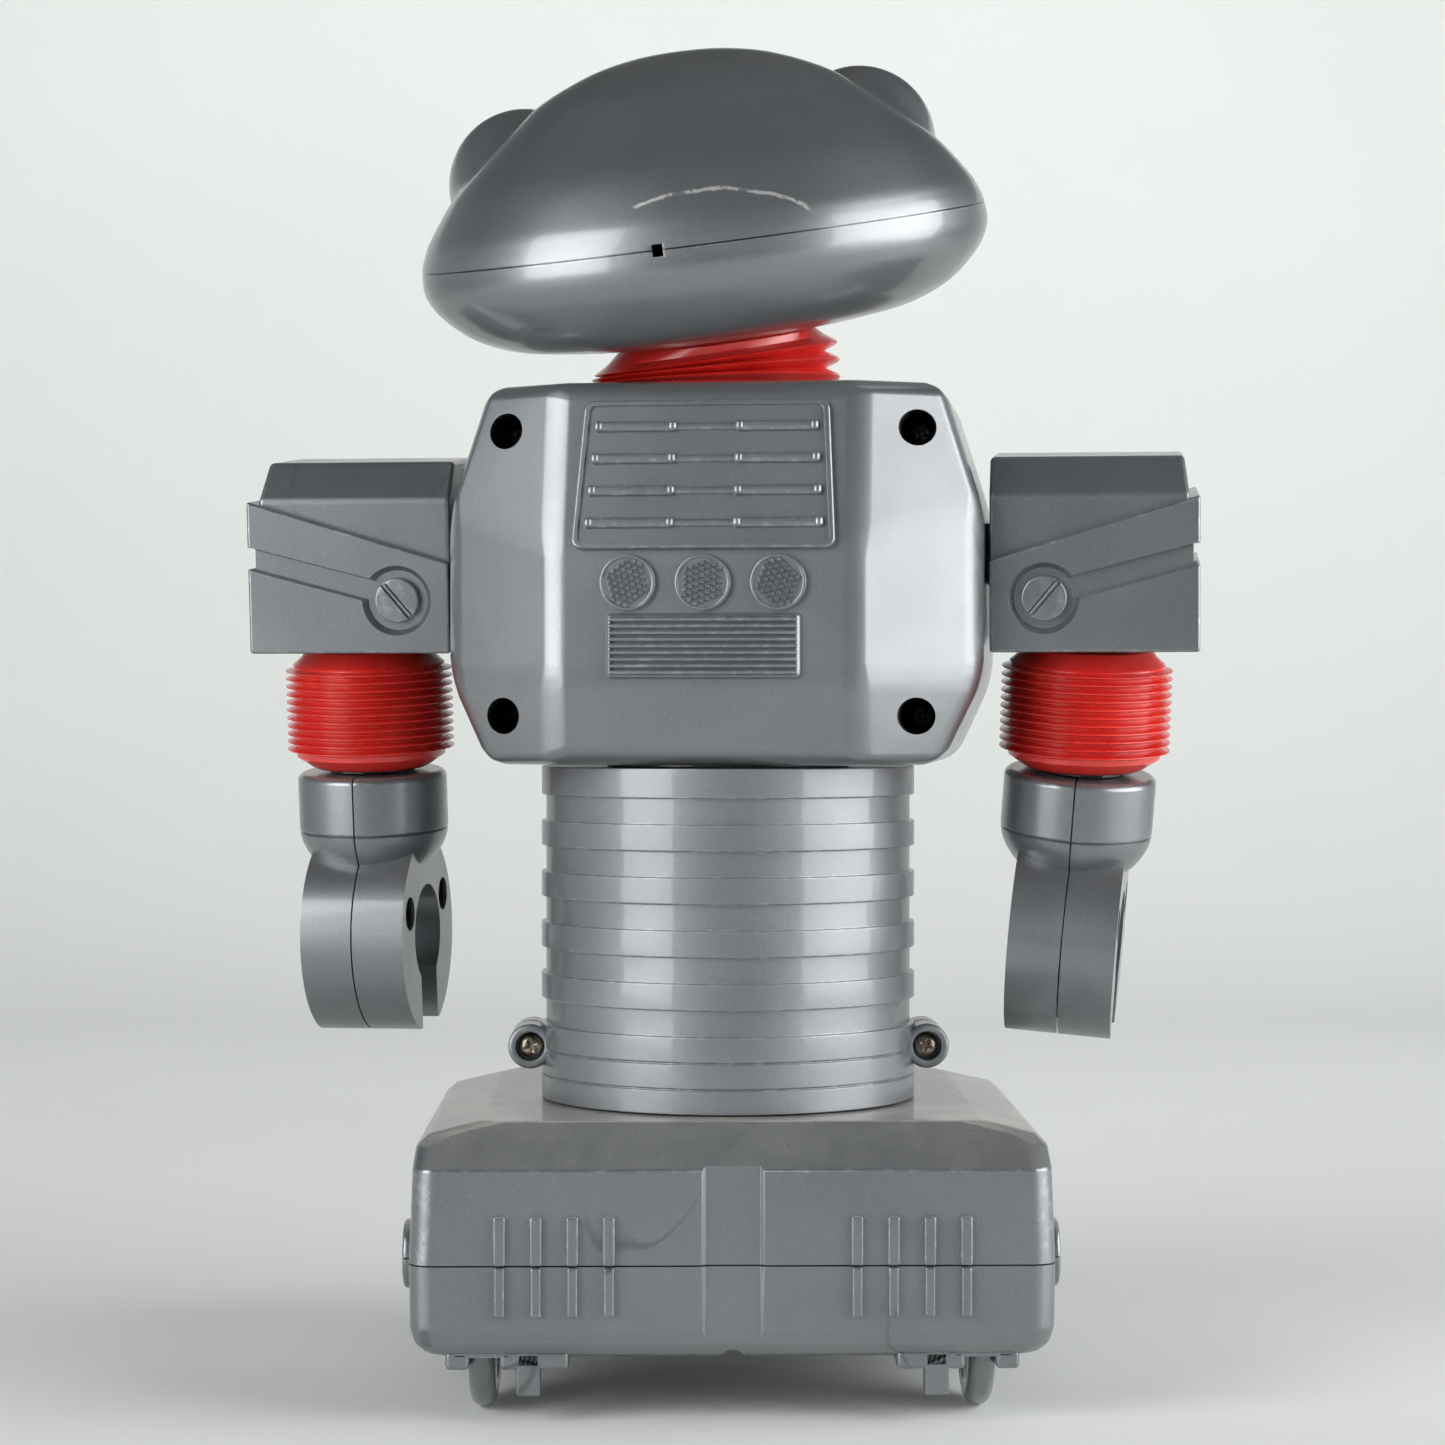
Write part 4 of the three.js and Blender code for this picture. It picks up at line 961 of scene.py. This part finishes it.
def knurled_disc(centre_x, centre_z, face_y, radius, turn, outward=1):
    """Raised disc with a round rim and rows of small diamond studs on its face."""
    rim = rounded_profile([
        (0, -2.5), (radius, -2.5), (radius, 0.05), (radius - 0.55, 0.05), (radius - 0.6, -0.22), (0, -0.22),
    ], 0.2, 3)
    parts = [revolve(rim, 96, "y")]
    across, along = 0.66, 1.0
    reach = int(radius / across) + 2
    for i in range(-reach, reach + 1):
        for j in range(-reach, reach + 1):
            u, v = i * across, j * along
            if (i + j) % 2 or math.hypot(u, v) > radius - 1.0:
                continue
            points = []
            for size, y in ((0.9, -0.3), (0.3, 0.32)):
                for du, dv in ((across, 0), (-across, 0), (0, along), (0, -along)):
                    x = (u + size * du) * math.cos(turn) - (v + size * dv) * math.sin(turn)
                    z = (u + size * du) * math.sin(turn) + (v + size * dv) * math.cos(turn)
                    points.append((x, y, z))
            parts.append(hull(points))
    made = merged(*parts)
    if outward < 0:
        mirrored(made, "y")
    return moved(made, Matrix.Translation((centre_x, face_y, centre_z)))


def louvre_block():
    plate = block((-18.5, 18.5), (37, 41.0), (138.9, 151.4), 1.1, 4)
    cut(plate, block((-17.6, 17.6), (39.5, 45), (139.7, 150.6)))
    round_edges(plate, 0.25, 2, 50)
    parts = [plate]
    for i in range(9):
        z = 140.15 + 1.25 * i
        parts.append(block((-18.0, 18.0), (39.0, 41.35), (z - 0.4, z + 0.4), 0.3, 3))
    return parts


def screw_well(x, z):
    """Walls and floor of a deep screw well behind the hole in the casing, in near-black painted shade."""
    tube = revolve([(3.5, 12.0), (5.0, 12.0), (5.0, 45.0), (3.5, 45.0)], 48, "y", (x, 0, z))
    boolean(tube, torso_hull(0.5), "INTERSECT")
    floor = revolve([(1.7, 10.5), (5.0, 10.5), (5.0, 12.1), (1.7, 12.1)], 48, "y", (x, 0, z))
    return [painted_shade(tube), painted_shade(floor)]


def build_torso():
    shell = torso_shell()
    back = merged(shell)
    keep(back, y=(GAP / 2, 80))
    for x, z in TORSO_SCREWS:
        cut(back, disc("y", 3.5, 12, 60, (x, z), 64))
    round_edges(back, 0.32, 3, 50)
    parts = [back, *ribbed_panel(), *louvre_block()]
    for x, turn in ((14.3, 20), (0.0, 35), (-14.3, -12)):
        parts.append(knurled_disc(x, 157.1, 41.0, 5.3, math.radians(turn)))
    for x, z in TORSO_SCREWS:
        parts += screw_well(x, z)
    silver_piece("torso_back_shell", merged(*parts), TORSO, "torso", "torso_back_casing")
    front = merged(shell)
    keep(front, y=(-80, -GAP / 2))
    round_edges(front, 0.32, 3, 50)
    parts = [front, *chest_panel()]
    silver_piece("torso_front_shell", merged(*parts), TORSO, "torso", "torso_front_casing")


def torso_screws():
    for i, (x, z) in enumerate(TORSO_SCREWS):
        screw(f"torso_screw_{i + 1}", TORSO, "torso", ("y", 1), (x, z), 13.1, -9, 2.6, 25 + 40 * i)


def chest_panel():
    """Parts on the chest: a framed panel with three knurled knobs, and a louvre above it."""
    plate = block((-26, 26), (-41.6, -36), (141.5, 161.5), 1.4, 4)
    cut(plate, block((-24, 24), (-60, -40.7), (143.5, 159.5), 0.8, 3))
    round_edges(plate, 0.3, 2, 50)
    parts = [plate]
    for x, turn in ((-13, 15), (0, 40), (13, -20)):
        parts.append(knurled_disc(x, 151.5, -41.9, 4.4, math.radians(turn), -1))
    for i in range(5):
        z = 168.9 + 4 * i
        parts.append(block((-20, 20), (-41.2 + i, -33), (z - 0.9, z + 0.9), 0.7, 3))
    return parts


# ------------------------------------------------------------------ head
DOME = [
    (55.9, 0.15), (55.2, 2.5), (53.4, 6.1), (48.1, 13.2), (42.7, 18.2),
    (34.5, 24.9), (28.1, 29.6), (18.0, 33.9), (8.7, 35.9), (0, 36.4),
]
JAW = [
    (55.9, -0.15), (56.1, -3.1), (55.3, -6.0), (53.0, -9.4), (47.5, -14.2),
    (39.8, -17.5), (31.0, -19.0), (24.3, -19.7), (17.7, -20.1),
]


def smooth_minimum(a, b, blend):
    share = max(blend - abs(a - b), 0.0) / blend
    return min(a, b) - share * share * blend * 0.25


FACING_FRONT = Matrix.Rotation(math.pi / 2, 4, "X")
EYE_PLACE = {side: Matrix.Translation((side * EYE[0], 0, EYE[2])) @ FACING_FRONT for side in (1, -1)}


def dome_with_eyes(curve, sides=176):
    """Dome surface pushed out where the two eye bulges swell through it."""
    centres = [Vector((side * EYE[0], EYE[1], EYE[2])) for side in (1, -1)]
    rows = []
    for i, (radius, height) in enumerate(curve):
        before, after = Vector(curve[max(i - 1, 0)]), Vector(curve[min(i + 1, len(curve) - 1)])
        slope = (after - before).normalized()
        row = []
        for j in range(sides):
            angle = 2 * math.pi * j / sides
            c, s = math.cos(angle), math.sin(angle)
            point = Vector((radius * c, HEAD_DEPTH * radius * s, height))
            normal = Vector((slope.y * c, slope.y * s / HEAD_DEPTH, -slope.x))
            normal.normalize()
            if i == 0:
                normal = Vector((normal.x, normal.y, 0)).normalized()
            low, high = 0.0, 26.0
            if min((point - centre).length for centre in centres) < EYE_RADIUS + 8:
                for _ in range(22):
                    middle = (low + high) / 2
                    there = point + normal * middle
                    value = middle
                    for centre in centres:
                        value = smooth_minimum(value, (there - centre).length - EYE_RADIUS, 5.0)
                    low, high = (middle, high) if value < 0 else (low, middle)
            row.append((point + normal * low, normal))
        rows.append(row)
    return rows


def shell_from_rows(rows, thickness):
    """Closed shell from rows of (point, normal), rim first, pole last."""
    bm = bmesh.new()
    outer = [[bm.verts.new(p) for p, _ in row] for row in rows]
    inner = [[bm.verts.new(p - n * thickness) for p, n in row] for row in rows]
    sides = len(rows[0])
    for grid in (outer, inner):
        for here, there in zip(grid, grid[1:]):
            for j in range(sides):
                k = (j + 1) % sides
                bm.faces.new((here[j], here[k], there[k], there[j]))
    for j in range(sides):
        k = (j + 1) % sides
        bm.faces.new((outer[0][k], outer[0][j], inner[0][j], inner[0][k]))
    bmesh.ops.remove_doubles(bm, verts=list(bm.verts), dist=1e-3)
    bmesh.ops.recalc_face_normals(bm, faces=list(bm.faces))
    return bm


def eye_sockets(rows):
    """Round walls and floors of the two recesses that hold the eyes."""
    parts = []
    for side in (1, -1):
        solid = hull([point for row in rows for point, _ in row])
        profile = [(0, 28.9), (10.98, 28.9), (10.98, 48), (10.82, 48), (10.82, 30.7), (0, 30.7)]
        socket = moved(revolve(profile, 72), EYE_PLACE[side])
        parts.append(boolean(socket, solid, "INTERSECT"))
    return parts


def head_upper():
    curve = smooth_curve(DOME, 7)
    curve = curve[:-1] + [(0.0, DOME[-1][1])]
    rows = dome_with_eyes(curve)
    dome = shell_from_rows(rows, WALL)
    for side in (1, -1):
        cut(dome, disc("y", 11.0, -60, -30.5, (side * EYE[0], EYE[2]), 72))
    cut(dome, block((NOTCH_X - NOTCH_HALF, NOTCH_X + NOTCH_HALF), (43, 60), (-2, 1.1)))
    round_edges(dome, 0.3, 2, 48)
    made = merged(dome, *eye_sockets(rows))
    silver_piece("head_upper_shell", made, HEAD, "head", "head_upper_casing", SILVER_HEAD)


def head_lower():
    outer = smooth_curve(JAW, 6)
    inner = [
        (17.7, -18.0), (31, -16.8), (39.8, -15.3), (46.4, -12.3), (51.2, -7.8), (53.7, -3.1), (53.5, -0.15),
    ]
    jaw = revolve(outer + inner, 176, depth=HEAD_DEPTH)
    for i in range(7):
        x = -18 + 6 * i
        cut(jaw, block((x - 1.1, x + 1.1), (-60, -36), (-12.5, -4.5), 1.0, 4))
    cut(jaw, block((NOTCH_X - NOTCH_HALF, NOTCH_X + NOTCH_HALF), (43, 60), (-1.2, 2)))
    round_edges(jaw, 0.3, 2, 48)
    profile = [(18.2, -20.0), (21, -19.2), (21, -5.8), (5.5, -5.8), (5.5, -8), (18.2, -8)]
    collar = revolve(rounded_profile(profile, 0.3), 64)
    silver_piece("head_lower_shell", merged(jaw, collar), HEAD, "head", "head_lower_casing")


def eye(word, side):
    place = EYE_PLACE[side]
    bezel = revolve(rounded_profile(
        [(8.6, 30.8), (10.7, 30.8), (10.7, 32.4), (9.9, 33.4), (8.6, 33.0)], 0.5, 4), 96)
    silver_piece(f"eye_bezel_{word}", moved(bezel, place), HEAD, "head")
    dome = [(0, 30.9), (8.7, 30.9), (8.7, 32.4), (7.9, 33.8), (6.2, 35.0), (3.4, 35.8), (0, 36.05)]
    lens = revolve([dome[0]] + smooth_curve(dome[1:], 5), 72)
    name = f"eye_lens_{word}"
    piece(name + "_dome", moved(lens, place), HEAD, "head", "lens_amber", LENS, [name])


def build_head():
    head_upper()
    head_lower()
    eye("left", 1)
    eye("right", -1)
    for word, side in SIDES:
        screw(f"head_screw_{word}", HEAD, "head", ("z", -1), (side * 38, 8), -6.9, 6, 2.5, 30 * side)
    neck_bellows()


# ------------------------------------------------------------------ bellows
def folds(bottom, top, count, peak, valley):
    """Accordion outline from bottom to top: round valleys and narrow rounded ridges."""
    points = []
    pitch = (top - bottom) / count
    shape = [(0.0, 0.0), (0.13, 0.05), (0.25, 0.3), (0.38, 0.8), (0.44, 0.97), (0.5, 1.0)]
    for i in range(count):
        z = bottom + i * pitch
        for along, out in shape + [(1 - a, o) for a, o in reversed(shape[1:-1])]:
            points.append((valley + out * (peak - valley), z + along * pitch))
    points.append((valley, top))
    return points


def arm_bellows(word):
    """Red bellows of one arm: cone, eleven fine folds, cone."""
    outside = [(11.2, -11.8), (12.2, -11.3), (15.0, -9.4)]
    outside += folds(-8.6, 8.9, 11, 16.9, 15.1)
    outside += [(15.4, 9.3), (13.6, 10.9), (12.8, 12.0), (12.4, 12.2)]
    inside = [(9.6, 12.2), (9.6, -11.8)]
    bm = revolve(outside + inside, 96)
    name = f"{word}_arm_bellows"
    made = piece(name + "_folds", bm, ARMS[word]["bellows"], None, "red_vinyl", RED, [name])
    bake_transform(made)


NECK_RINGS = [
    # radius, height on the low side, height on the high side, share of the head's pitch
    (14.0, 196.1, 196.1, 0.0), (22.4, 196.1, 196.1, 0.0), (22.6, 196.5, 196.8, 0.0),
    (24.5, 197.2, 198.8, 0.2), (24.85, 197.5, 199.3, 0.22), (24.5, 197.75, 199.8, 0.24),
    (21.9, 198.1, 201.0, 0.35), (24.4, 198.5, 202.2, 0.44), (24.75, 198.8, 202.7, 0.46),
    (24.4, 199.05, 203.2, 0.48), (21.7, 199.4, 204.4, 0.6), (23.9, 199.7, 205.6, 0.7),
    (24.3, 200.0, 206.1, 0.72), (23.8, 200.35, 206.6, 0.74), (21.6, 202.2, 207.7, 0.85),
]


def neck_bellows():
    """Red neck bellows whose folds open on the side where the head lifts."""
    sides = 144
    to_torso = TORSO.inverted() @ HEAD
    bm = bmesh.new()
    rows = []
    for radius, low, high, pitched in NECK_RINGS:
        row = []
        for j in range(sides):
            angle = 2 * math.pi * j / sides
            c, s = math.cos(angle), math.sin(angle)
            z = (low + high) / 2 + (low - high) / 2 * c - 3.9 * pitched * s
            row.append(bm.verts.new((2.2 + radius * c, 1.9 + radius * s, z)))
        rows.append(row)
    for radius, height in ((19.6, -20.3), (18.0, -19.3), (17.4, -18.6), (16.0, -18.8)):
        row = []
        for j in range(sides):
            angle = 2 * math.pi * j / sides
            point = Vector((radius * math.cos(angle), radius * math.sin(angle), height)) * MM
            row.append(bm.verts.new((to_torso @ point) / MM))
        rows.append(row)
    for i, here in enumerate(rows):
        there = rows[(i + 1) % len(rows)]
        for j in range(sides):
            k = (j + 1) % sides
            bm.faces.new((here[j], here[k], there[k], there[j]))
    bmesh.ops.recalc_face_normals(bm, faces=list(bm.faces))
    made = piece("neck_bellows_folds", bm, TORSO, None, "red_vinyl", RED, ["neck_bellows"])
    low = TORSO @ (Vector((0, 1.5, 197.0)) * MM)
    high = TORSO @ (Vector((0, 1.5, 205.0)) * MM)
    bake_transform(made)


# ------------------------------------------------------------------ arms and hands
def arm_solid(side):
    """Upper arm block with the raised wedge on its lower part."""
    block_points, wedge_points = [], []
    reach, depth = ARM_OUTER + ARM_PROUD, ARM_DEPTH + ARM_PROUD
    for face in (-1, 1):
        for x, y, z in (
            (ARM_INNER, ARM_DEPTH, ARM_FOOT), (ARM_OUTER, ARM_DEPTH, ARM_FOOT),
            (ARM_INNER, ARM_DEPTH, ARM_FOLD), (ARM_OUTER, ARM_DEPTH, ARM_FOLD),
            (ARM_INNER, 12.0, ARM_TOP), (ARM_OUTER - 1.0, 12.0, ARM_TOP),
        ):
            block_points.append((side * x, face * y, z))
        for x, z in ((ARM_INNER, ARM_FOOT), (reach, ARM_FOOT), (reach, 12.2), (ARM_INNER, 0.0)):
            wedge_points.append((side * x, face * depth, z))
    core = round_edges(hull(block_points), 0.9, 4, 20)
    wedge = round_edges(hull(wedge_points), 0.6, 3, 20)
    boolean(core, wedge, "UNION")
    return core


def groove_tools(side, face):
    """Cutter of the slanting groove and the bowl at its end, with sloping walls."""
    floor = ARM_DEPTH + ARM_PROUD - 1.5
    boss_x, boss_z = ARM_BOSS
    points = []
    for y, spread in ((floor, 0.0), (floor + 3.0, 0.9)):
        points += [(side * 60, face * y, -9.7 - spread), (side * 60, face * y, -5.7 + spread)]
        points += [(side * 98, face * y, 0.5 - spread), (side * 98, face * y, 4.2 + spread)]
    band = hull(points)
    profile = [(0, floor), (5.9, floor), (7.9, floor + 3.0), (0, floor + 3.0)]
    bowl = revolve(profile, 72, "y", (side * boss_x, 0, boss_z))
    if face < 0:
        mirrored(bowl, "y")
    return boolean(band, bowl, "UNION")


def slotted_boss(side, face):
    """Round boss in the bowl with a diagonal slot across it."""
    y = ARM_DEPTH + ARM_PROUD
    boss_x, boss_z = ARM_BOSS
    profile = rounded_profile([(0, y - 3), (4.4, y - 3), (4.4, y - 0.1), (0, y - 0.1)], 0.4, 3)
    boss = revolve(profile, 72, "y", (side * boss_x, 0, boss_z))
    slot = block((-5.1, 5.1), (y - 0.95, y + 2), (-0.6, 0.6), 0.2, 2)
    turn = Matrix.Rotation(math.radians(side * -50), 4, "Y")
    cut(boss, moved(slot, Matrix.Translation((side * boss_x, 0, boss_z)) @ turn))
    bar = block((-4.1, 4.1), (y - 1.2, y - 0.35), (-0.3, 0.3), 0.2, 2)
    moved(bar, Matrix.Translation((side * boss_x, 0, boss_z)) @ turn)
    round_edges(boss, 0.12, 2, 55)
    parts = merged(boss, bar)
    return mirrored(parts, "y") if face < 0 else parts


def upper_arm(word, side):
    solid = arm_solid(side)
    for face in (1, -1):
        cut(solid, groove_tools(side, face))
    cut(solid, block(sorted((side * 91.9, side * 99)), (-30, 30), (-1.2, 3.0)))
    cut(solid, block(sorted((side * 55.1, side * 88.8)), (-15.8, 15.8), (-15.7, 11)))
    cut(solid, disc("z", 9.0, -30, -10, (side * ELBOW_X + ELBOW_SHIFT, 0), 64))
    cut(solid, disc("x", SHOULDER_HOLE, side * 50, side * 60, (0, 0), 48))
    for half, y, face in (("back", (GAP / 2, 60), 1), ("front", (-60, -GAP / 2), -1)):
        part = keep(merged(solid), y=y)
        round_edges(part, 0.35, 3, 38)
        name = f"{word}_arm_{half}_half"
        made = merged(part, slotted_boss(side, face))
        silver_piece(name + "_shell", made, ARMS[word]["arm"], f"{word}_upper_arm", name)


def claw_solid():
    """Both halves of the claw in one: collar, C ring, mouth and the wrist socket."""
    profile = rounded_profile([(0, -12.7), (14.2, -12.7), (15.1, -13.6), (15.1, -24.4), (0, -24.4)], 0.5, 3)
    cap = [(15.1, -24.4), (14.6, -26.6), (13.4, -29.0), (11.4, -31.4), (8.0, -33.5), (0, -34.6)]
    cap = smooth_curve(cap, 4)
    collar = revolve(profile[:-1] + cap[1:], 96)
    ring = disc("x", 20.0, -10.5, 10.5, (0, HAND_CENTRE), 128)
    keep(ring, z=(HAND_BOTTOM, 0))
    boolean(ring, collar, "UNION")
    cut(ring, disc("x", 10.0, -20, 20, (0, HAND_CENTRE), 96))
    cut(ring, block((-20, 20), (-6, 6), (-80, HAND_CENTRE)))
    socket = revolve([(0, -10), (5.3, -10), (5.3, -17.3), (7.6, -17.3), (7.6, -20), (0, -20)], 48)
    return cut(ring, socket)


def build_hand(word, solid):
    matrix = ARMS[word]["hand"]
    body = f"{word}_hand"
    for kind, x in (("bored", (-60, -GAP / 2)), ("plain", (GAP / 2, 60))):
        half = keep(merged(solid), x=x)
        if kind == "bored":
            for y in (-CLAW_SCREW_Y, CLAW_SCREW_Y):
                cut(half, disc("x", 3.4, -20, -4, (y, CLAW_SCREW_Z), 48))
        round_edges(half, 0.5, 3, 42)
        if kind == "bored":
            for y in (-CLAW_SCREW_Y, CLAW_SCREW_Y):
                # Near-black painted shade lining the screw holes of the claw.
                lining = [(2.9, -9.9), (3.38, -9.9), (3.38, -4.0), (0, -4.0), (0, -4.6), (2.9, -4.6)]
                half = merged(half, painted_shade(revolve(lining, 48, "x", (0, y, CLAW_SCREW_Z))))
        name = f"{word}_claw_{kind}_half"
        silver_piece(name + "_shell", half, matrix, body, name)


def build_arms():
    solid = claw_solid()
    for word, side in SIDES:
        upper_arm(word, side)
        arm_bellows(word)
        build_hand(word, solid)


# ------------------------------------------------------------------ surroundings
def studio_material(name, colour, roughness):
    n = Nodes(name)
    n.colour(n.two_tones(3, 4, 0.5, 0.3, 0.7, colour, tuple(0.97 * c for c in colour)))
    n.set(Roughness=roughness, Specular_IOR_Level=0.25)
    return n.material


def build_stage():
    """Pale floor that curves up into a pale backdrop."""
    bm = bmesh.new()
    profile = [(0.6, 0.0), (-0.75, 0.0)]
    for step in range(1, 13):
        angle = step * math.pi / 24
        profile.append((-0.75 - 0.5 * math.sin(angle), 0.5 - 0.5 * math.cos(angle)))
    profile.append((-1.25, 0.72))
    rows = [[bm.verts.new((x, y, z)) for x in (-2.5, 2.5)] for y, z in profile]
    for here, there in zip(rows, rows[1:]):
        bm.faces.new((here[0], here[1], there[1], there[0]))
    for face in bm.faces:
        face.smooth = True
    bmesh.ops.recalc_face_normals(bm, faces=list(bm.faces))
    sweep = object_from(bm, "studio_sweep")
    sweep.data.materials.append(studio_material("studio_paper", (0.80, 0.82, 0.795), 0.6))


def area_light(name, place, target, size, energy):
    """Rectangular lamp that looks at a target."""
    data = bpy.data.lights.new(name, "AREA")
    data.shape = "RECTANGLE"
    data.size, data.size_y = size
    data.energy = energy
    made = new_object(name, data)
    made.location = place
    made.rotation_euler = (Vector(target) - made.location).to_track_quat("-Z", "Y").to_euler()
    return made


def softbox(name, angle, size, energy):
    """Area light beside the camera, at an angle from the object's back."""
    place = 0.95 * Vector((math.sin(angle), math.cos(angle), 0)) + Vector((0, 0, 0.30))
    area_light(name, place, (0, 0, 0.14), size, energy)


def build_lights():
    """Two soft boxes beside the camera and one lamp for the backdrop."""
    softbox("softbox_left", math.radians(51), (0.60, 1.0), 11.0)
    softbox("softbox_right", math.radians(-71), (0.98, 1.0), 16.5)
    lamp = area_light("backdrop_light", (0, -0.35, 0.95), (0, -1.25, 0.25), (1.8, 0.3), 5.5)
    lamp.visible_glossy = False


def build_world():
    """Pale at the horizon, darker overhead and below."""
    world = bpy.data.worlds.new("studio_world")
    bpy.context.scene.world = world
    world.use_nodes = True
    tree = world.node_tree
    split = tree.nodes.new("ShaderNodeSeparateXYZ")
    tree.links.new(tree.nodes.new("ShaderNodeTexCoord").outputs["Generated"], split.inputs[0])
    both = tree.nodes.new("ShaderNodeMath")
    both.operation = "MULTIPLY"
    fades = (("SMOOTHSTEP", 0.05, 0.6, 0.42, 0.05), ("LINEAR", -0.06, 0.0, 0.25, 1.0))
    for socket, (kind, *stops) in zip(both.inputs, fades):
        fade = tree.nodes.new("ShaderNodeMapRange")
        fade.interpolation_type = kind
        for key, value in zip(("From Min", "From Max", "To Min", "To Max"), stops):
            fade.inputs[key].default_value = value
        tree.links.new(split.outputs["Z"], fade.inputs["Value"])
        tree.links.new(fade.outputs["Result"], socket)
    background = tree.nodes["Background"].inputs
    background["Color"].default_value = (0.88, 0.93, 0.97, 1.0)
    tree.links.new(both.outputs["Value"], background["Strength"])


def build_camera():
    """Camera behind the robot, at the height of its waist."""
    data = bpy.data.cameras.new("camera")
    data.lens = 84.7
    data.sensor_width = 36.0
    camera = new_object("camera", data)
    camera.location = (0.0126, COLUMN_Y + 0.6799, 0.134)
    target = Vector((0.0011, COLUMN_Y, 0.1305))
    camera.rotation_euler = (target - camera.location).to_track_quat("-Z", "Y").to_euler()
    bpy.context.scene.camera = camera


build_camera()
build_stage()
build_lights()
build_world()
dress_kept_nodes()
build_base()
build_column()
build_torso()
torso_screws()
build_head()
build_arms()
bpy.context.scene.view_settings.view_transform = "Standard"
